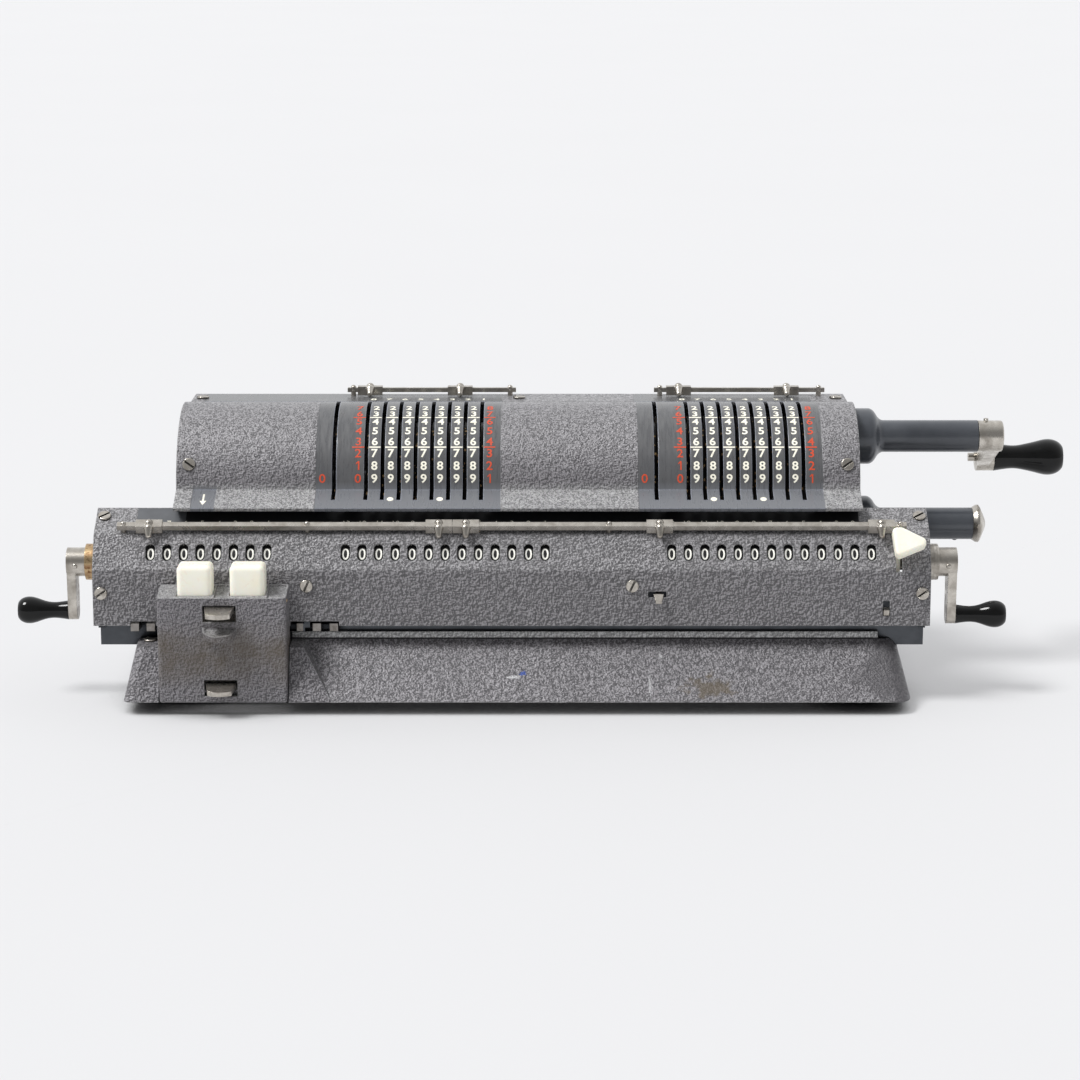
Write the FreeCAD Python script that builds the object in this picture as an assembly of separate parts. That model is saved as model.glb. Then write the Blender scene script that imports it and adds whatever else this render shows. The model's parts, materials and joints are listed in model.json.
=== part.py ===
import FreeCAD
import Part
import math
import os

# Twin pinwheel calculator with two setting drums, a shifting carriage and hand cranks.
# X runs along the drums to the right, Y to the back, Z up. While the pieces are drawn,
# X = 0 is the middle of the body, Y = 0 the drum axis and Z = 0 the table. At the end all
# of them move together, so that the origin is the middle of the footprint on the table.

# ---- overall layout (mm) ----
digit_pitch = 8.0            # from one setting slot or number wheel to the next
body_half = 166.4            # half width of the drum cover
drum_axis_z = 95.0
table_gap = 6.3              # base edge above the table
run_fit = 0.05               # radial clearance of shafts and slides
free_gap = 0.3               # clearance of pieces that pass each other

# ---- base ----
base_half = 188.5            # half width at the bottom edge
base_draft = 5.5             # how far each end leans in at the deck
base_front = -89.0
base_rear = 62.0
base_deck_z = 31.0
base_deck_front = -62.8
base_corner = 9.0
base_wall = 5.0
base_roof = 4.5
rib_height = 3.5
rib_width = 1.6
trough_rear = -38.5
trough_floor_z = 26.5
pedestal_margin = 6.7        # how much wider than the key box the pedestal is on the right
pedestal_front = -77.4
pedestal_depth = 8.0         # how far it runs into the base behind the deck's front edge
pedestal_flare = 14.5        # how much wider its right side is at the bottom edge
foot_radius = 17.5
foot_inset = 23.5            # foot centre, in from the base's end
foot_front = -52.0
foot_rear = 38.0
foot_edge = 1.5

# ---- body ----
cover_radius = 40.3
cover_wall = 1.6
cover_rear_angle = 118.0     # degrees from the front horizontal, over the top
ledge_front = -54.8
ledge_z = 93.6
ledge_start_angle = 6.6
frame_wall = 5.0
frame_front = -37.0
strip_front = 28.0
strip_z = 131.0
rear_bend = 9.0
rear_back = 58.7
slot_width = 2.0
slot_end = -48.0             # front end of the slots, in the ledge
cover_screw_angle = 24.2
cover_screw_inset = 6.2      # from the body's sides
cover_slot_turn = 35.0       # how far the screws' slots are turned, in degrees
strip_slot_turn = 20.0
strip_screw_inset = 10.0
pedestal_screw_inset = 4.0
pedestal_screw_gap = 6.5
tie_radius = 4.0
tie_inset = 18.0             # of the tie rods behind the front of the strip and the frames
slot_count = 8
slot_margin = 27.6           # from the last setting slot of the right rotor to the body's side
clear_slot_offset = -15.6    # clearing slot, from the first setting slot

# ---- drum and levers ----
drum_shaft_radius = 6.0
journal_radius = 5.0
disc_radius = 33.0
disc_width = 4.7
boss_radius = 20.0
hub_radius = 9.0
lever_thickness = 1.3
lever_tip_radius = 43.8
lever_tip_width = 3.2
zero_angle = 95.5            # lever at nought, with the crank home
digit_angle = 9.0            # from one digit to the next
crank_turned = 65.2          # how far the crank stands off home
pin_count = 9
pin_radius = 1.1
pin_rise = 0.9
first_pin_angle = 100.0      # of the pins, with the crank home

# ---- drive gears ----
gear_teeth = 24
gear_width = 6.0
tooth_shape = [(-0.30, -1.15), (-0.22, 0.0), (-0.10, 0.85), (0.10, 0.85), (0.22, 0.0), (0.30, -1.15)]
gear_gap = 4.4               # from the gears to the right side frame
crank_rise = 23.6            # crank axis above the drum axis

# ---- crank and its tubes ----
bell_radius = 13.9
bell_length = 7.4
bell_flare = 7.6
bell_shape = [(0.0, 1.0), (0.2, 0.93), (0.4, 0.72), (0.6, 0.34), (0.8, 0.09), (1.0, 0.0)]
tube_radius = 7.95
crank_tube_reach = 61.9      # these reaches count from the side of the body
shaft_radius = 5.0
crank_radius = 44.6
crank_hub_radius = 7.75
crank_hub_length = 12.4
crank_hub_socket = 9.0       # how deep the shaft sits in the hub
crank_hub_edge = 1.2
crank_pin_inset = 4.0
cross_pin_radius = 1.2
cross_pin_rise = 1.2
crank_bar_root = 6.7         # half width of the arm at the hub
crank_bar_tip = 5.8
crank_bar_inset = 3.0        # of its outer face from the boss's
crank_arm_near = 68.0
crank_arm_far = 76.8
crank_arm_end_radius = 7.0
crank_handle_length = 35.0
crank_handle_neck = 5.95
crank_handle_bulb = 9.2
lock_pin_radius = 2.15
lock_pin_gap = 0.4           # from its tip to the flange of the home catch
catch_flange_radius = 9.4
catch_cone_reach = 67.2
catch_cone_length = 3.6
catch_flange_length = 2.9
catch_cone_tip = 3.0

# ---- handles: places along them and radii, as shares of the length and of neck and bulb ----
handle_neck_shape = [(0.0, 1.2), (0.14, 1.07), (0.31, 1.0), (0.46, 1.14)]
handle_bulb_shape = [(0.62, 0.88), (0.77, 1.0), (0.92, 0.9), (1.0, 0.64)]

# ---- carriage ----
carriage_centre = -3.0       # of the carriage in the rest pose
carriage_half = 201.2
carriage_wall = 1.4
carriage_end_wall = 2.0
bearing_gap = 1.0
carriage_profile = [(-69.4, 39.0), (-68.5, 66.0), (-59.2, 82.0), (-43.0, 91.4)]
carriage_bend = 3.0
clip_notches = [(17.8, 30.0), (94.7, 118.2)]   # from the carriage's left end, as the next ones
clip_notch_height = 2.2
clip_insets = [19.5, 27.2, 99.5, 107.2, 115.4]
clip_width = 4.0
clip_front = -67.0
clip_bottom = 35.7
clip_top = 39.6
register_y = -52.0
register_z = 66.6
register_shaft_radius = 4.0
wheel_width = 6.6
wheel_chamfer = 0.4
wheel_hub_wall = 2.0
counter_margin = 27.6        # from the carriage's end to the first counter wheel
result_margin = 28.3         # from the last result wheel to the carriage's right end
group_share = 0.77932        # of the half carriage, from one rotor or result register to the next
counter_count = 8
result_count = 13
window_width = 4.5
window_height = 8.5
bearing_plate_width = 3.0
frame_bar_bottom = 27.4
frame_bar_top = 37.5
frame_bar_front = -60.6
frame_bar_rear = -52.6
frame_web_rear = -42.0
frame_web_thickness = 2.3
frame_back_top = 56.0
frame_back_wall = 1.5
rack_teeth = 12
rack_tooth = 3.2
rail_radius = 3.0
rail_y = -47.0
rail_z = 31.0
rail_block_inset = 10.5      # from the base's end
rail_block_width = 6.0
rail_wall = 1.5              # beside the rail in its blocks and lugs
rail_cover = 0.6             # over the rail in its blocks
lug_cover = 0.9              # under the rail in its lugs
lug_share = 0.6              # of the half carriage
lug_width = 10.0

# ---- clearing cranks ----
left_arm_radius = 24.1
right_arm_radius = 26.1
bush_radius = 8.8
bush_length = 4.9
bush_neck_radius = 7.3
clear_hub_radius = 7.0
clear_hub_length = 9.2
clear_arm_thickness = 4.3
clear_arm_root_radius = 5.5
clear_arm_end_radius = 4.6
clear_handle_length = 24.3
clear_handle_neck = 3.9
clear_handle_bulb = 6.55
spindle_radius = 1.6
spindle_share = 0.6          # of the length of its handle

# ---- carriage front ----
knob_inset = 11.4            # from the carriage's right end
knob_slot_inset = 15.3
knob_outline = [(-7.9, 8.4), (-3.0, 8.4), (8.1, 2.4), (8.1, -1.0), (-6.4, -7.2)]
knob_corner = 2.2
knob_edge = 1.5
knob_slot_width = 3.0
knob_inner_radius = 19.8
knob_thickness = 5.5
knob_angle = 34.2            # above the front horizontal
knob_travel = 30.5
knob_stem_depth = 3.0
knob_ring_radius = 9.0
point_slider_x = 69.9
point_slider_z = 54.3
point_slot_length = 8.8
point_slot_height = 2.9
point_rest = 0.6             # of the slider, right of the middle of its slot
finger_width = 4.9
finger_tip_width = 2.9
finger_reach = 5.0
finger_drop = 2.6
finger_thickness = 1.4
register_slider_inset = 21.2 # from the carriage's right end
register_slider_z = 47.5
register_slot_width = 3.3
register_slot_height = 7.4
register_rest = 1.9          # of the slider, above the foot of its slot
slider_height = 2.6
keeper_thickness = 1.6
keeper_margin = 1.2          # how much wider a keeper is than its slot
screw_radius = 3.1
screw_rise = 1.1
screw_shank_radius = 1.5
screw_shank = 4.0
screw_slot_width = 1.0
screw_slot_depth = 0.8
end_screw_inset = 4.0
end_screw_z = 55.0
end_slot_turn = 35.0
front_screws = [-98.6, 57.9]
front_screw_z = 58.6
front_slot_turn = 65.0

# ---- marker rails and riders ----
marker_y = -59.0
marker_rise = 3.2            # of its middle above the sloping cover
marker_size = 2.9
marker_end = 14.4            # from the carriage's ends to the outer posts
marker_middle = [-98.5, 46.8]
middle_riders = [-35.05, -22.05, 71.15]
rider_insets = [26.85, 23.5]  # of the outer ones, from the carriage's ends
top_marker_y = 45.5
top_marker_rise = 3.0        # of its middle above the strip
top_marker_size = 2.2
top_posts = [(-11.0, 69.3), (-10.8, 70.6)]     # of each rotor, from its first slot
top_riders = [(-2.4, 43.7), (-1.2, 54.0)]
rider_length = 12.7
rider_wall = 0.7
rider_drop = 2.6             # of its front, below the middle of the rail
rider_brim = 0.3
rider_gap = 0.15
rider_knob_radius = 2.1
pointer_radius = 2.3
pointer_tip = 1.45
pointer_length = 3.8
pointer_turn = 62.0          # out of the front of the rider, in degrees from straight down
post_radius = 1.3
post_nut_radius = 1.4
post_overhang = 3.0          # of a marker rail past its end posts

# ---- key box ----
box_inset = 17.5             # from the base's left end
box_width = 61.3
box_front = -89.1
box_rear = -70.3
box_bottom = 6.6
box_top = 59.8               # at its rear edge
box_top_front = 57.6
box_wall = 1.8
box_tray = 0.9               # how deep its top is sunk beside the keys
box_rim = 0.9
box_corner = 1.6
key_width = 16.6
key_depth = 13.0
key_top = 72.2
key_skirt_z = 55.0
key_offsets = [17.6, 42.7]   # from the left side of the box
key_edge = 2.4
key_stem = 5.0
key_bottom_z = 30.0
tab_offset = 29.6            # from the left side of the box
tab_slot_width = 15.8
tab_slot_height = 8.0
tab_width = 14.0
tab_front_width = 11.6
tab_bow = 1.3                # of its front edge
tab_thickness = 2.4
tab_reach = 9.0
tab_tilt = 12.0              # how far its plate droops, in degrees
tab_flange = 1.1
release_slot_z = 49.85
release_tab_top = 53.3
lock_slot_z = 13.4
lock_tab_top = 15.7
shelf_z = 43.0
shelf_reach = 9.0
shelf_thickness = 3.0
shelf_width = 16.0
shelf_tilt = 14.0
shelf_rim = 1.1
shelf_dish = 0.7

deck_top = base_deck_z + rib_height
crank_axis_z = drum_axis_z + crank_rise
catch_axis_z = crank_axis_z - crank_radius
crank_tube_end = body_half + crank_tube_reach
catch_cone_end = body_half + catch_cone_reach
catch_flange_end = catch_cone_end - catch_cone_length
catch_tube_end = catch_flange_end - catch_flange_length
lock_pin_tip = catch_flange_end + lock_pin_gap
crank_arm_left = body_half + crank_arm_near
crank_arm_right = body_half + crank_arm_far
gear_left = body_half - frame_wall - gear_gap - gear_width
foot_x = base_half - foot_inset
rail_block_x = base_half - rail_block_inset
box_left = box_inset - base_half
box_right = box_left + box_width
key_centres = [box_left + offset for offset in key_offsets]
tab_centre_x = box_left + tab_offset
group_pitch = group_share * carriage_half
first_slot = body_half - slot_margin - digit_pitch * (slot_count - 1) - group_pitch
counter_first = counter_margin - carriage_half
counter_last = counter_first + digit_pitch * (counter_count - 1)
result_first = carriage_half - result_margin - digit_pitch * (result_count - 1) - group_pitch
middle_plate_x = (counter_last + result_first) / 2
comma_riders = [rider_insets[0] - carriage_half] + middle_riders + [carriage_half - rider_insets[1]]
marker_posts = [marker_end - carriage_half] + marker_middle + [carriage_half - marker_end]
group_offsets = (0.0, group_pitch)
side_names = ("left", "right")
handle_right = crank_arm_right + free_gap + crank_handle_length
left_reach = carriage_centre - carriage_half - bush_length - clear_hub_length
handle_left = left_reach - free_gap - clear_handle_length
key_centre_y = box_rear - box_wall - free_gap - key_depth / 2
face_foot, face_top, slope_end = carriage_profile[1:4]
slope_tilt = math.atan2(slope_end[1] - face_top[1], slope_end[0] - face_top[0])
marker_z = (face_top[1] + (marker_y - face_top[0]) * math.tan(slope_tilt)
            + marker_rise / math.cos(slope_tilt))
top_marker_z = strip_z + top_marker_rise
face_length = math.hypot(face_top[0] - face_foot[0], face_top[1] - face_foot[1])
face_distance = ((register_y - face_foot[0]) * (face_top[1] - face_foot[1])
                 - (register_z - face_foot[1]) * (face_top[0] - face_foot[0])) / face_length
wheel_radius = face_distance - carriage_wall - free_gap
origin_x = (handle_left + handle_right) / 2
origin_y = (box_front - shelf_reach + base_rear) / 2


def point(y, z, x=0.0):
    return FreeCAD.Vector(x, y, z)


def block(x0, x1, y0, y1, z0, z1):
    return Part.makeBox(x1 - x0, y1 - y0, z1 - z0, FreeCAD.Vector(x0, y0, z0))


def rod(x0, x1, y, z, radius):
    """Cylinder along X."""
    return Part.makeCylinder(radius, x1 - x0, FreeCAD.Vector(x0, y, z), FreeCAD.Vector(1, 0, 0))


def prism(outline, x0, x1):
    """Solid with a polygon (y, z) as its section, from x0 to x1."""
    corners = [point(y, z, x0) for y, z in outline]
    face = Part.Face(Part.makePolygon(corners + corners[:1]))
    return face.extrude(FreeCAD.Vector(x1 - x0, 0, 0))


def turned(stations, y, z):
    """Solid of revolution about an X axis through (y, z), from (x, radius) stations."""
    corners = [FreeCAD.Vector(x, y, z + radius) for x, radius in stations]
    return revolved(Part.makePolygon(corners).Edges, corners[0], corners[-1], y, z)


def turned_smooth(stations, y, z):
    """Solid of revolution whose outline is a smooth curve through (x, radius) stations."""
    corners = [FreeCAD.Vector(x, y, z + radius) for x, radius in stations]
    curve = Part.BSplineCurve()
    curve.interpolate(corners)
    return revolved([curve.toShape()], corners[0], corners[-1], y, z)


def revolved(outline, first, last, y, z):
    """Solid of revolution of an outline of edges about an X axis through (y, z)."""
    start = FreeCAD.Vector(first.x, y, z)
    end = FreeCAD.Vector(last.x, y, z)
    closing = [Part.LineSegment(last, end).toShape(), Part.LineSegment(end, start).toShape(),
               Part.LineSegment(start, first).toShape()]
    face = Part.Face(Part.Wire(outline + closing))
    return face.revolve(start, FreeCAD.Vector(1, 0, 0), 360)


def fused(shapes):
    """One solid out of touching or overlapping shapes."""
    joined = shapes[0].fuse(shapes[1:]).removeSplitter()
    return joined.Solids[0] if len(joined.Solids) == 1 else joined


def on_circle(radius, angle, y=0.0, z=drum_axis_z):
    """Point at an angle in degrees from the front horizontal, over the top."""
    turn = math.radians(angle)
    return (y - radius * math.cos(turn), z + radius * math.sin(turn))


def arc_edge(radius, start, end):
    middle = (start + end) / 2
    points = [point(*on_circle(radius, angle)) for angle in (start, middle, end)]
    return Part.Arc(*points).toShape()


def line_edge(start, end):
    return Part.LineSegment(point(*start), point(*end)).toShape()


def section(edges, x0, x1):
    """Solid with closed edges in the YZ plane as its section, from x0 to x1."""
    face = Part.Face(Part.Wire(Part.__sortEdges__(edges)))
    face.translate(FreeCAD.Vector(x0, 0, 0))
    return face.extrude(FreeCAD.Vector(x1 - x0, 0, 0))


def slot_centres(offset):
    """X of a rotor's setting slots."""
    return [first_slot + offset + digit_pitch * index for index in range(slot_count)]


def all_slots():
    slots = []
    for offset in group_offsets:
        slots += [first_slot + clear_slot_offset + offset] + slot_centres(offset)
    return slots


def screw(at, normal, slot_turn):
    """Slotted fillister screw whose head stands on the point, with its shank behind it."""
    head = Part.makeCylinder(screw_radius, screw_rise)
    rim = [edge for edge in head.Edges if edge.Closed and edge.CenterOfMass.z > screw_rise / 2]
    head = head.makeFillet(screw_rise * 0.4, rim)
    shank = Part.makeCylinder(screw_shank_radius, screw_shank, FreeCAD.Vector(0, 0, -screw_shank))
    cut = block(-2 * screw_radius, 2 * screw_radius, -screw_slot_width / 2, screw_slot_width / 2,
                screw_rise - screw_slot_depth, screw_rise + 1)
    cut.rotate(FreeCAD.Vector(0, 0, 0), FreeCAD.Vector(0, 0, 1), slot_turn)
    solid = head.fuse(shank).cut(cut)
    turn = FreeCAD.Rotation(FreeCAD.Vector(0, 0, 1), normal)
    solid.Placement = FreeCAD.Placement(at, turn)
    return solid


# ---- base ----

def tapered_block(bottom, top, z0, z1):
    """Block between two rectangles (x0, x1, y0, y1) at two heights."""
    wires = []
    for (x0, x1, y0, y1), z in ((bottom, z0), (top, z1)):
        corners = [(x0, y0), (x1, y0), (x1, y1), (x0, y1), (x0, y0)]
        wires.append(Part.makePolygon([FreeCAD.Vector(x, y, z) for x, y in corners]))
    return Part.makeLoft(wires, True, True)


def base_body(inset=0.0, top_z=base_deck_z):
    """Outer form of the base, or of its hollow when it is set in."""
    deck_half = base_half - base_draft
    bottom = (-base_half + inset, base_half - inset, base_front + inset, base_rear - inset)
    top = (-deck_half + inset, deck_half - inset, base_deck_front + inset, base_rear - inset)
    body = tapered_block(bottom, top, table_gap, top_z)
    upright = [edge for edge in body.Edges if abs(edge.BoundBox.ZLength - (top_z - table_gap)) < 0.01]
    return body.makeFillet(base_corner, upright)


def pedestal():
    """Raised block of the base on both sides of the key box."""
    left = base_draft - base_half
    right = box_right + pedestal_margin
    rear = base_deck_front + pedestal_depth
    bottom = (-base_half, right + pedestal_flare, base_front, rear)
    top = (left, right, pedestal_front, rear)
    block_form = tapered_block(bottom, top, table_gap, base_deck_z)
    corner = [edge for edge in block_form.Edges
              if edge.BoundBox.ZLength > (base_deck_z - table_gap) * 0.9
              and edge.CenterOfMass.x < left and edge.CenterOfMass.y < pedestal_front]
    return block_form.makeFillet(base_corner / 2, corner)


def base_casting():
    deck_half = base_half - base_draft
    rib_rear = base_deck_front + rib_width
    rib = block(-deck_half + base_corner, deck_half - base_corner, base_deck_front, rib_rear,
                base_deck_z - 6, deck_top)
    deck = block(-deck_half, deck_half, trough_rear, base_rear, base_deck_z - 6, deck_top)
    body = base_body().fuse([pedestal(), rib, deck])
    hollow = base_body(base_wall, trough_floor_z - base_roof)
    trough = block(-base_half - 1, base_half + 1, rib_rear, trough_rear, trough_floor_z, deck_top + 1)
    body = body.cut([hollow, trough, key_box_form()])
    blocks = []
    for side in (-1, 1):
        left = side * rail_block_x - rail_block_width / 2
        reach = rail_radius + rail_wall
        foot = block(left, left + rail_block_width, rail_y - reach, rail_y + reach,
                     trough_floor_z - 1, rail_z + rail_radius + rail_cover)
        blocks.append(foot.cut(rod(left - 1, left + rail_block_width + 1, rail_y, rail_z, rail_radius)))
    return fused([body] + blocks)


def rubber_feet():
    feet = []
    for x in (-foot_x, foot_x):
        for y in (foot_front, foot_rear):
            foot = Part.makeCylinder(foot_radius, table_gap, FreeCAD.Vector(x, y, 0))
            rim = [edge for edge in foot.Edges if edge.Closed and edge.CenterOfMass.z < 1]
            feet.append(foot.makeFillet(foot_edge, rim))
    return feet


# ---- body ----

def drum_cover():
    """Sheet over the drums, with a flared ledge in front and the setting slots."""
    inner = cover_radius - cover_wall
    corner = on_circle(cover_radius, ledge_start_angle)
    inner_corner = on_circle(inner, ledge_start_angle)
    lip = (ledge_front, ledge_z)
    inner_lip = (ledge_front + cover_wall * 0.4, ledge_z - cover_wall)
    edges = [
        line_edge(lip, corner),
        arc_edge(cover_radius, ledge_start_angle, cover_rear_angle),
        line_edge(on_circle(cover_radius, cover_rear_angle), on_circle(inner, cover_rear_angle)),
        arc_edge(inner, ledge_start_angle, cover_rear_angle),
        line_edge(inner_corner, inner_lip),
        line_edge(inner_lip, lip),
    ]
    cover = section(edges, -body_half, body_half)
    cuts = []
    for x in all_slots():
        left = x - slot_width / 2
        cuts.append(block(left, left + slot_width, slot_end, cover_radius, ledge_z - 2, strip_z + 20))
    return cover.cut(cuts)


def rear_cover():
    """Flat top strip, rounded back edge and back wall down to the base."""
    outer = rear_path(0.0)
    inner = rear_path(cover_wall)
    edges = outer + inner
    edges.append(line_edge((strip_front, strip_z), (strip_front, strip_z - cover_wall)))
    edges.append(line_edge((rear_back, deck_top), (rear_back - cover_wall, deck_top)))
    return section(edges, -body_half, body_half)


def rear_path(inset):
    """Strip, bend and back wall, as three edges, set in by the wall."""
    centre = (rear_back - rear_bend, strip_z - rear_bend)
    radius = rear_bend - inset
    bend = [on_circle(radius, angle, *centre) for angle in (90, 135, 180)]
    arc = Part.Arc(*[point(*corner) for corner in bend]).toShape()
    top = line_edge((strip_front, strip_z - inset), bend[0])
    back = line_edge(bend[2], (rear_back - inset, deck_top))
    return [top, arc, back]


def side_frame(x0):
    """Plate that carries the shafts and closes the body, inside the rims of both covers."""
    inner = cover_radius - cover_wall
    corner = on_circle(inner, ledge_start_angle)
    shelf_z_low = ledge_z - cover_wall
    lip = ledge_front + cover_wall * 0.4
    slope = (corner[1] - shelf_z_low) / (corner[0] - lip)
    nose = (lip + 1.0, shelf_z_low)
    nose_top = (nose[0], shelf_z_low + (nose[0] - lip) * slope)
    rear_inner = rear_back - cover_wall
    end = on_circle(inner, cover_rear_angle)
    edges = [
        line_edge((frame_front, deck_top), (frame_front, shelf_z_low)),
        line_edge((frame_front, shelf_z_low), nose),
        line_edge(nose, nose_top),
        line_edge(nose_top, corner),
        arc_edge(inner, ledge_start_angle, cover_rear_angle),
        line_edge(end, (strip_front, strip_z - cover_wall)),
    ]
    edges += rear_path(cover_wall)
    edges.append(line_edge((rear_inner, deck_top), (frame_front, deck_top)))
    plate = section(edges, x0, x0 + frame_wall)
    bores = [rod(x0 - 1, x0 + frame_wall + 1, 0, drum_axis_z, journal_radius + run_fit)]
    if x0 > 0:
        bores.append(rod(x0 - 1, x0 + frame_wall + 1, 0, crank_axis_z, shaft_radius + run_fit))
    return plate.cut(bores)


def side_frames():
    return [side_frame(-body_half), side_frame(body_half - frame_wall)]


def frame_rails():
    """Carriage rail in the trough and two tie rods between the side frames."""
    reach = rail_block_x + rail_block_width / 2
    inside = body_half - frame_wall
    upper = (strip_front + tie_inset, strip_z - cover_wall - tie_radius)
    lower = (frame_front + tie_inset, deck_top + tie_radius + free_gap)
    rails = [rod(-reach, reach, rail_y, rail_z, rail_radius)]
    return rails + [rod(-inside, inside, y, z, tie_radius) for y, z in (upper, lower)]


def bell(end, z):
    """Flange on the right side frame that flares in an S into its tube."""
    step = bell_radius - tube_radius
    foot = body_half + bell_length
    flare = [(foot + bell_flare * along, tube_radius + step * height) for along, height in bell_shape]
    return fused([rod(body_half, foot, 0, z, bell_radius), turned_smooth(flare, 0, z),
                  rod(foot + bell_flare, end, 0, z, tube_radius)])


def bearing_tubes():
    crank_tube = bell(crank_tube_end, crank_axis_z)
    crank_tube = crank_tube.cut(rod(body_half - 1, crank_tube_end + 1, 0, crank_axis_z,
                                    shaft_radius + run_fit))
    return [crank_tube, bell(catch_tube_end, catch_axis_z)]


def catch_cap():
    """Nickel cap with a blunt cone, grooved along the path of the locking pin."""
    rim = catch_flange_radius
    form = turned([(catch_tube_end, tube_radius), (catch_tube_end + 1.0, rim), (catch_flange_end, rim),
                   (catch_cone_end, catch_cone_tip)], 0, catch_axis_z)
    width = lock_pin_radius + free_gap
    ring = rod(catch_flange_end - 0.1, catch_cone_end + 1, 0, crank_axis_z, crank_radius + width)
    core = rod(catch_flange_end - 1, catch_cone_end + 2, 0, crank_axis_z, crank_radius - width)
    return form.cut(ring.cut(core))


def body_screws():
    upwards = FreeCAD.Vector(0, 0, 1)
    side_x = body_half - frame_wall
    y, z = on_circle(cover_radius, cover_screw_angle)
    outwards = FreeCAD.Vector(0, y, z - drum_axis_z)
    screws = []
    for side in (-1, 1):
        at = point(y, z, side * (body_half - cover_screw_inset))
        screws.append(screw(at, outwards, side * cover_slot_turn))
    for x in (-side_x, 0.0, side_x):
        screws.append(screw(point(strip_front + strip_screw_inset, strip_z, x), upwards, strip_slot_turn))
    at = point(base_deck_front - pedestal_screw_inset, base_deck_z, box_left - pedestal_screw_gap)
    return screws + [screw(at, upwards, strip_slot_turn)]


# ---- drive ----

def gear(x0, y, z, turn):
    """Spur gear whose pitch circles meet halfway between the two axes."""
    pitch_radius = crank_rise / 2
    module = 2 * pitch_radius / gear_teeth
    step = 360.0 / gear_teeth
    outline = []
    for index in range(gear_teeth):
        base_angle = turn + index * step
        for share, rise in tooth_shape:
            outline.append(on_circle(pitch_radius + rise * module, base_angle + share * step, y, z))
    return prism(outline, x0, x0 + gear_width)


def drum_shaft():
    inside = body_half - frame_wall
    shaft = fused([rod(-inside + free_gap, inside - free_gap, 0, drum_axis_z, drum_shaft_radius),
                   rod(-body_half + free_gap, body_half - free_gap, 0, drum_axis_z, journal_radius)])
    half_step = 180.0 / gear_teeth
    return fused([shaft, gear(gear_left, 0, drum_axis_z, 90.0 + half_step)])


def crank_shaft():
    shaft = rod(gear_left, crank_tube_end + free_gap + crank_hub_socket, 0, crank_axis_z, shaft_radius)
    return fused([shaft, gear(gear_left, 0, crank_axis_z, -90.0)])


def pinwheel(x):
    """Disc with nine radial pins, on a hub as long as the pitch."""
    left = x - lever_thickness / 2 - free_gap / 2
    right = left + digit_pitch
    disc_left = x + lever_thickness / 2 + free_gap / 2
    hub = rod(left, right, 0, drum_axis_z, hub_radius)
    boss = rod(left, disc_left, 0, drum_axis_z, boss_radius)
    disc = rod(disc_left, disc_left + disc_width, 0, drum_axis_z, disc_radius)
    pins = []
    middle = disc_left + disc_width / 2
    for index in range(pin_count):
        angle = math.radians(crank_turned + first_pin_angle + index * digit_angle)
        outward = FreeCAD.Vector(0, -math.cos(angle), math.sin(angle))
        foot = FreeCAD.Vector(middle, 0, drum_axis_z) + outward * (disc_radius - 2)
        pins.append(Part.makeCylinder(pin_radius, 2 + pin_rise, foot, outward))
    wheel = fused([hub, boss, disc] + pins)
    return wheel.cut(rod(left - 1, right + 1, 0, drum_axis_z, drum_shaft_radius))


def pinwheels():
    return [pinwheel(x) for x in all_slots()]


def lever(x):
    """Setting ring on the boss of its disc, with a finger that stands out of the slot."""
    left = x - lever_thickness / 2
    ring = rod(left, left + lever_thickness, 0, drum_axis_z, disc_radius - 3)
    half = lever_tip_width / 2
    finger = block(left, left + lever_thickness, -half, half,
                   drum_axis_z + disc_radius - 8, drum_axis_z + lever_tip_radius)
    tips = [edge for edge in finger.Edges
            if edge.BoundBox.XLength > lever_thickness - 0.01
            and edge.CenterOfMass.z > drum_axis_z + lever_tip_radius - 0.01]
    finger = finger.makeFillet(half * 0.8, tips)
    axis = FreeCAD.Vector(0, 0, drum_axis_z)
    finger.rotate(axis, FreeCAD.Vector(1, 0, 0), -(zero_angle + crank_turned - 90.0))
    bore = rod(left - 1, left + lever_thickness + 1, 0, drum_axis_z, boss_radius + run_fit)
    return fused([ring, finger]).cut(bore)


# ---- main crank ----

def crank_point():
    """Y and Z of the crank handle's axis in the rest pose."""
    turn = math.radians(crank_turned)
    return (crank_radius * math.sin(turn), crank_axis_z - crank_radius * math.cos(turn))


def arm_bar(x0, x1, radius, start_radius, end_radius, y, z, tip):
    """Bar with round ends from an axis to its tip."""
    root = rod(x0, x1, y, z, start_radius)
    end = rod(x0, x1, tip[0], tip[1], end_radius)
    along = FreeCAD.Vector(0, tip[0] - y, tip[1] - z) * (1.0 / radius)
    across = FreeCAD.Vector(0, -along.z, along.y)
    centre = FreeCAD.Vector(x0, y, z)
    far = FreeCAD.Vector(x0, tip[0], tip[1])
    corners = [centre + across * start_radius, far + across * end_radius,
               far - across * end_radius, centre - across * start_radius]
    bar = Part.Face(Part.makePolygon(corners + corners[:1])).extrude(FreeCAD.Vector(x1 - x0, 0, 0))
    return fused([root, end, bar])


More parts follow.
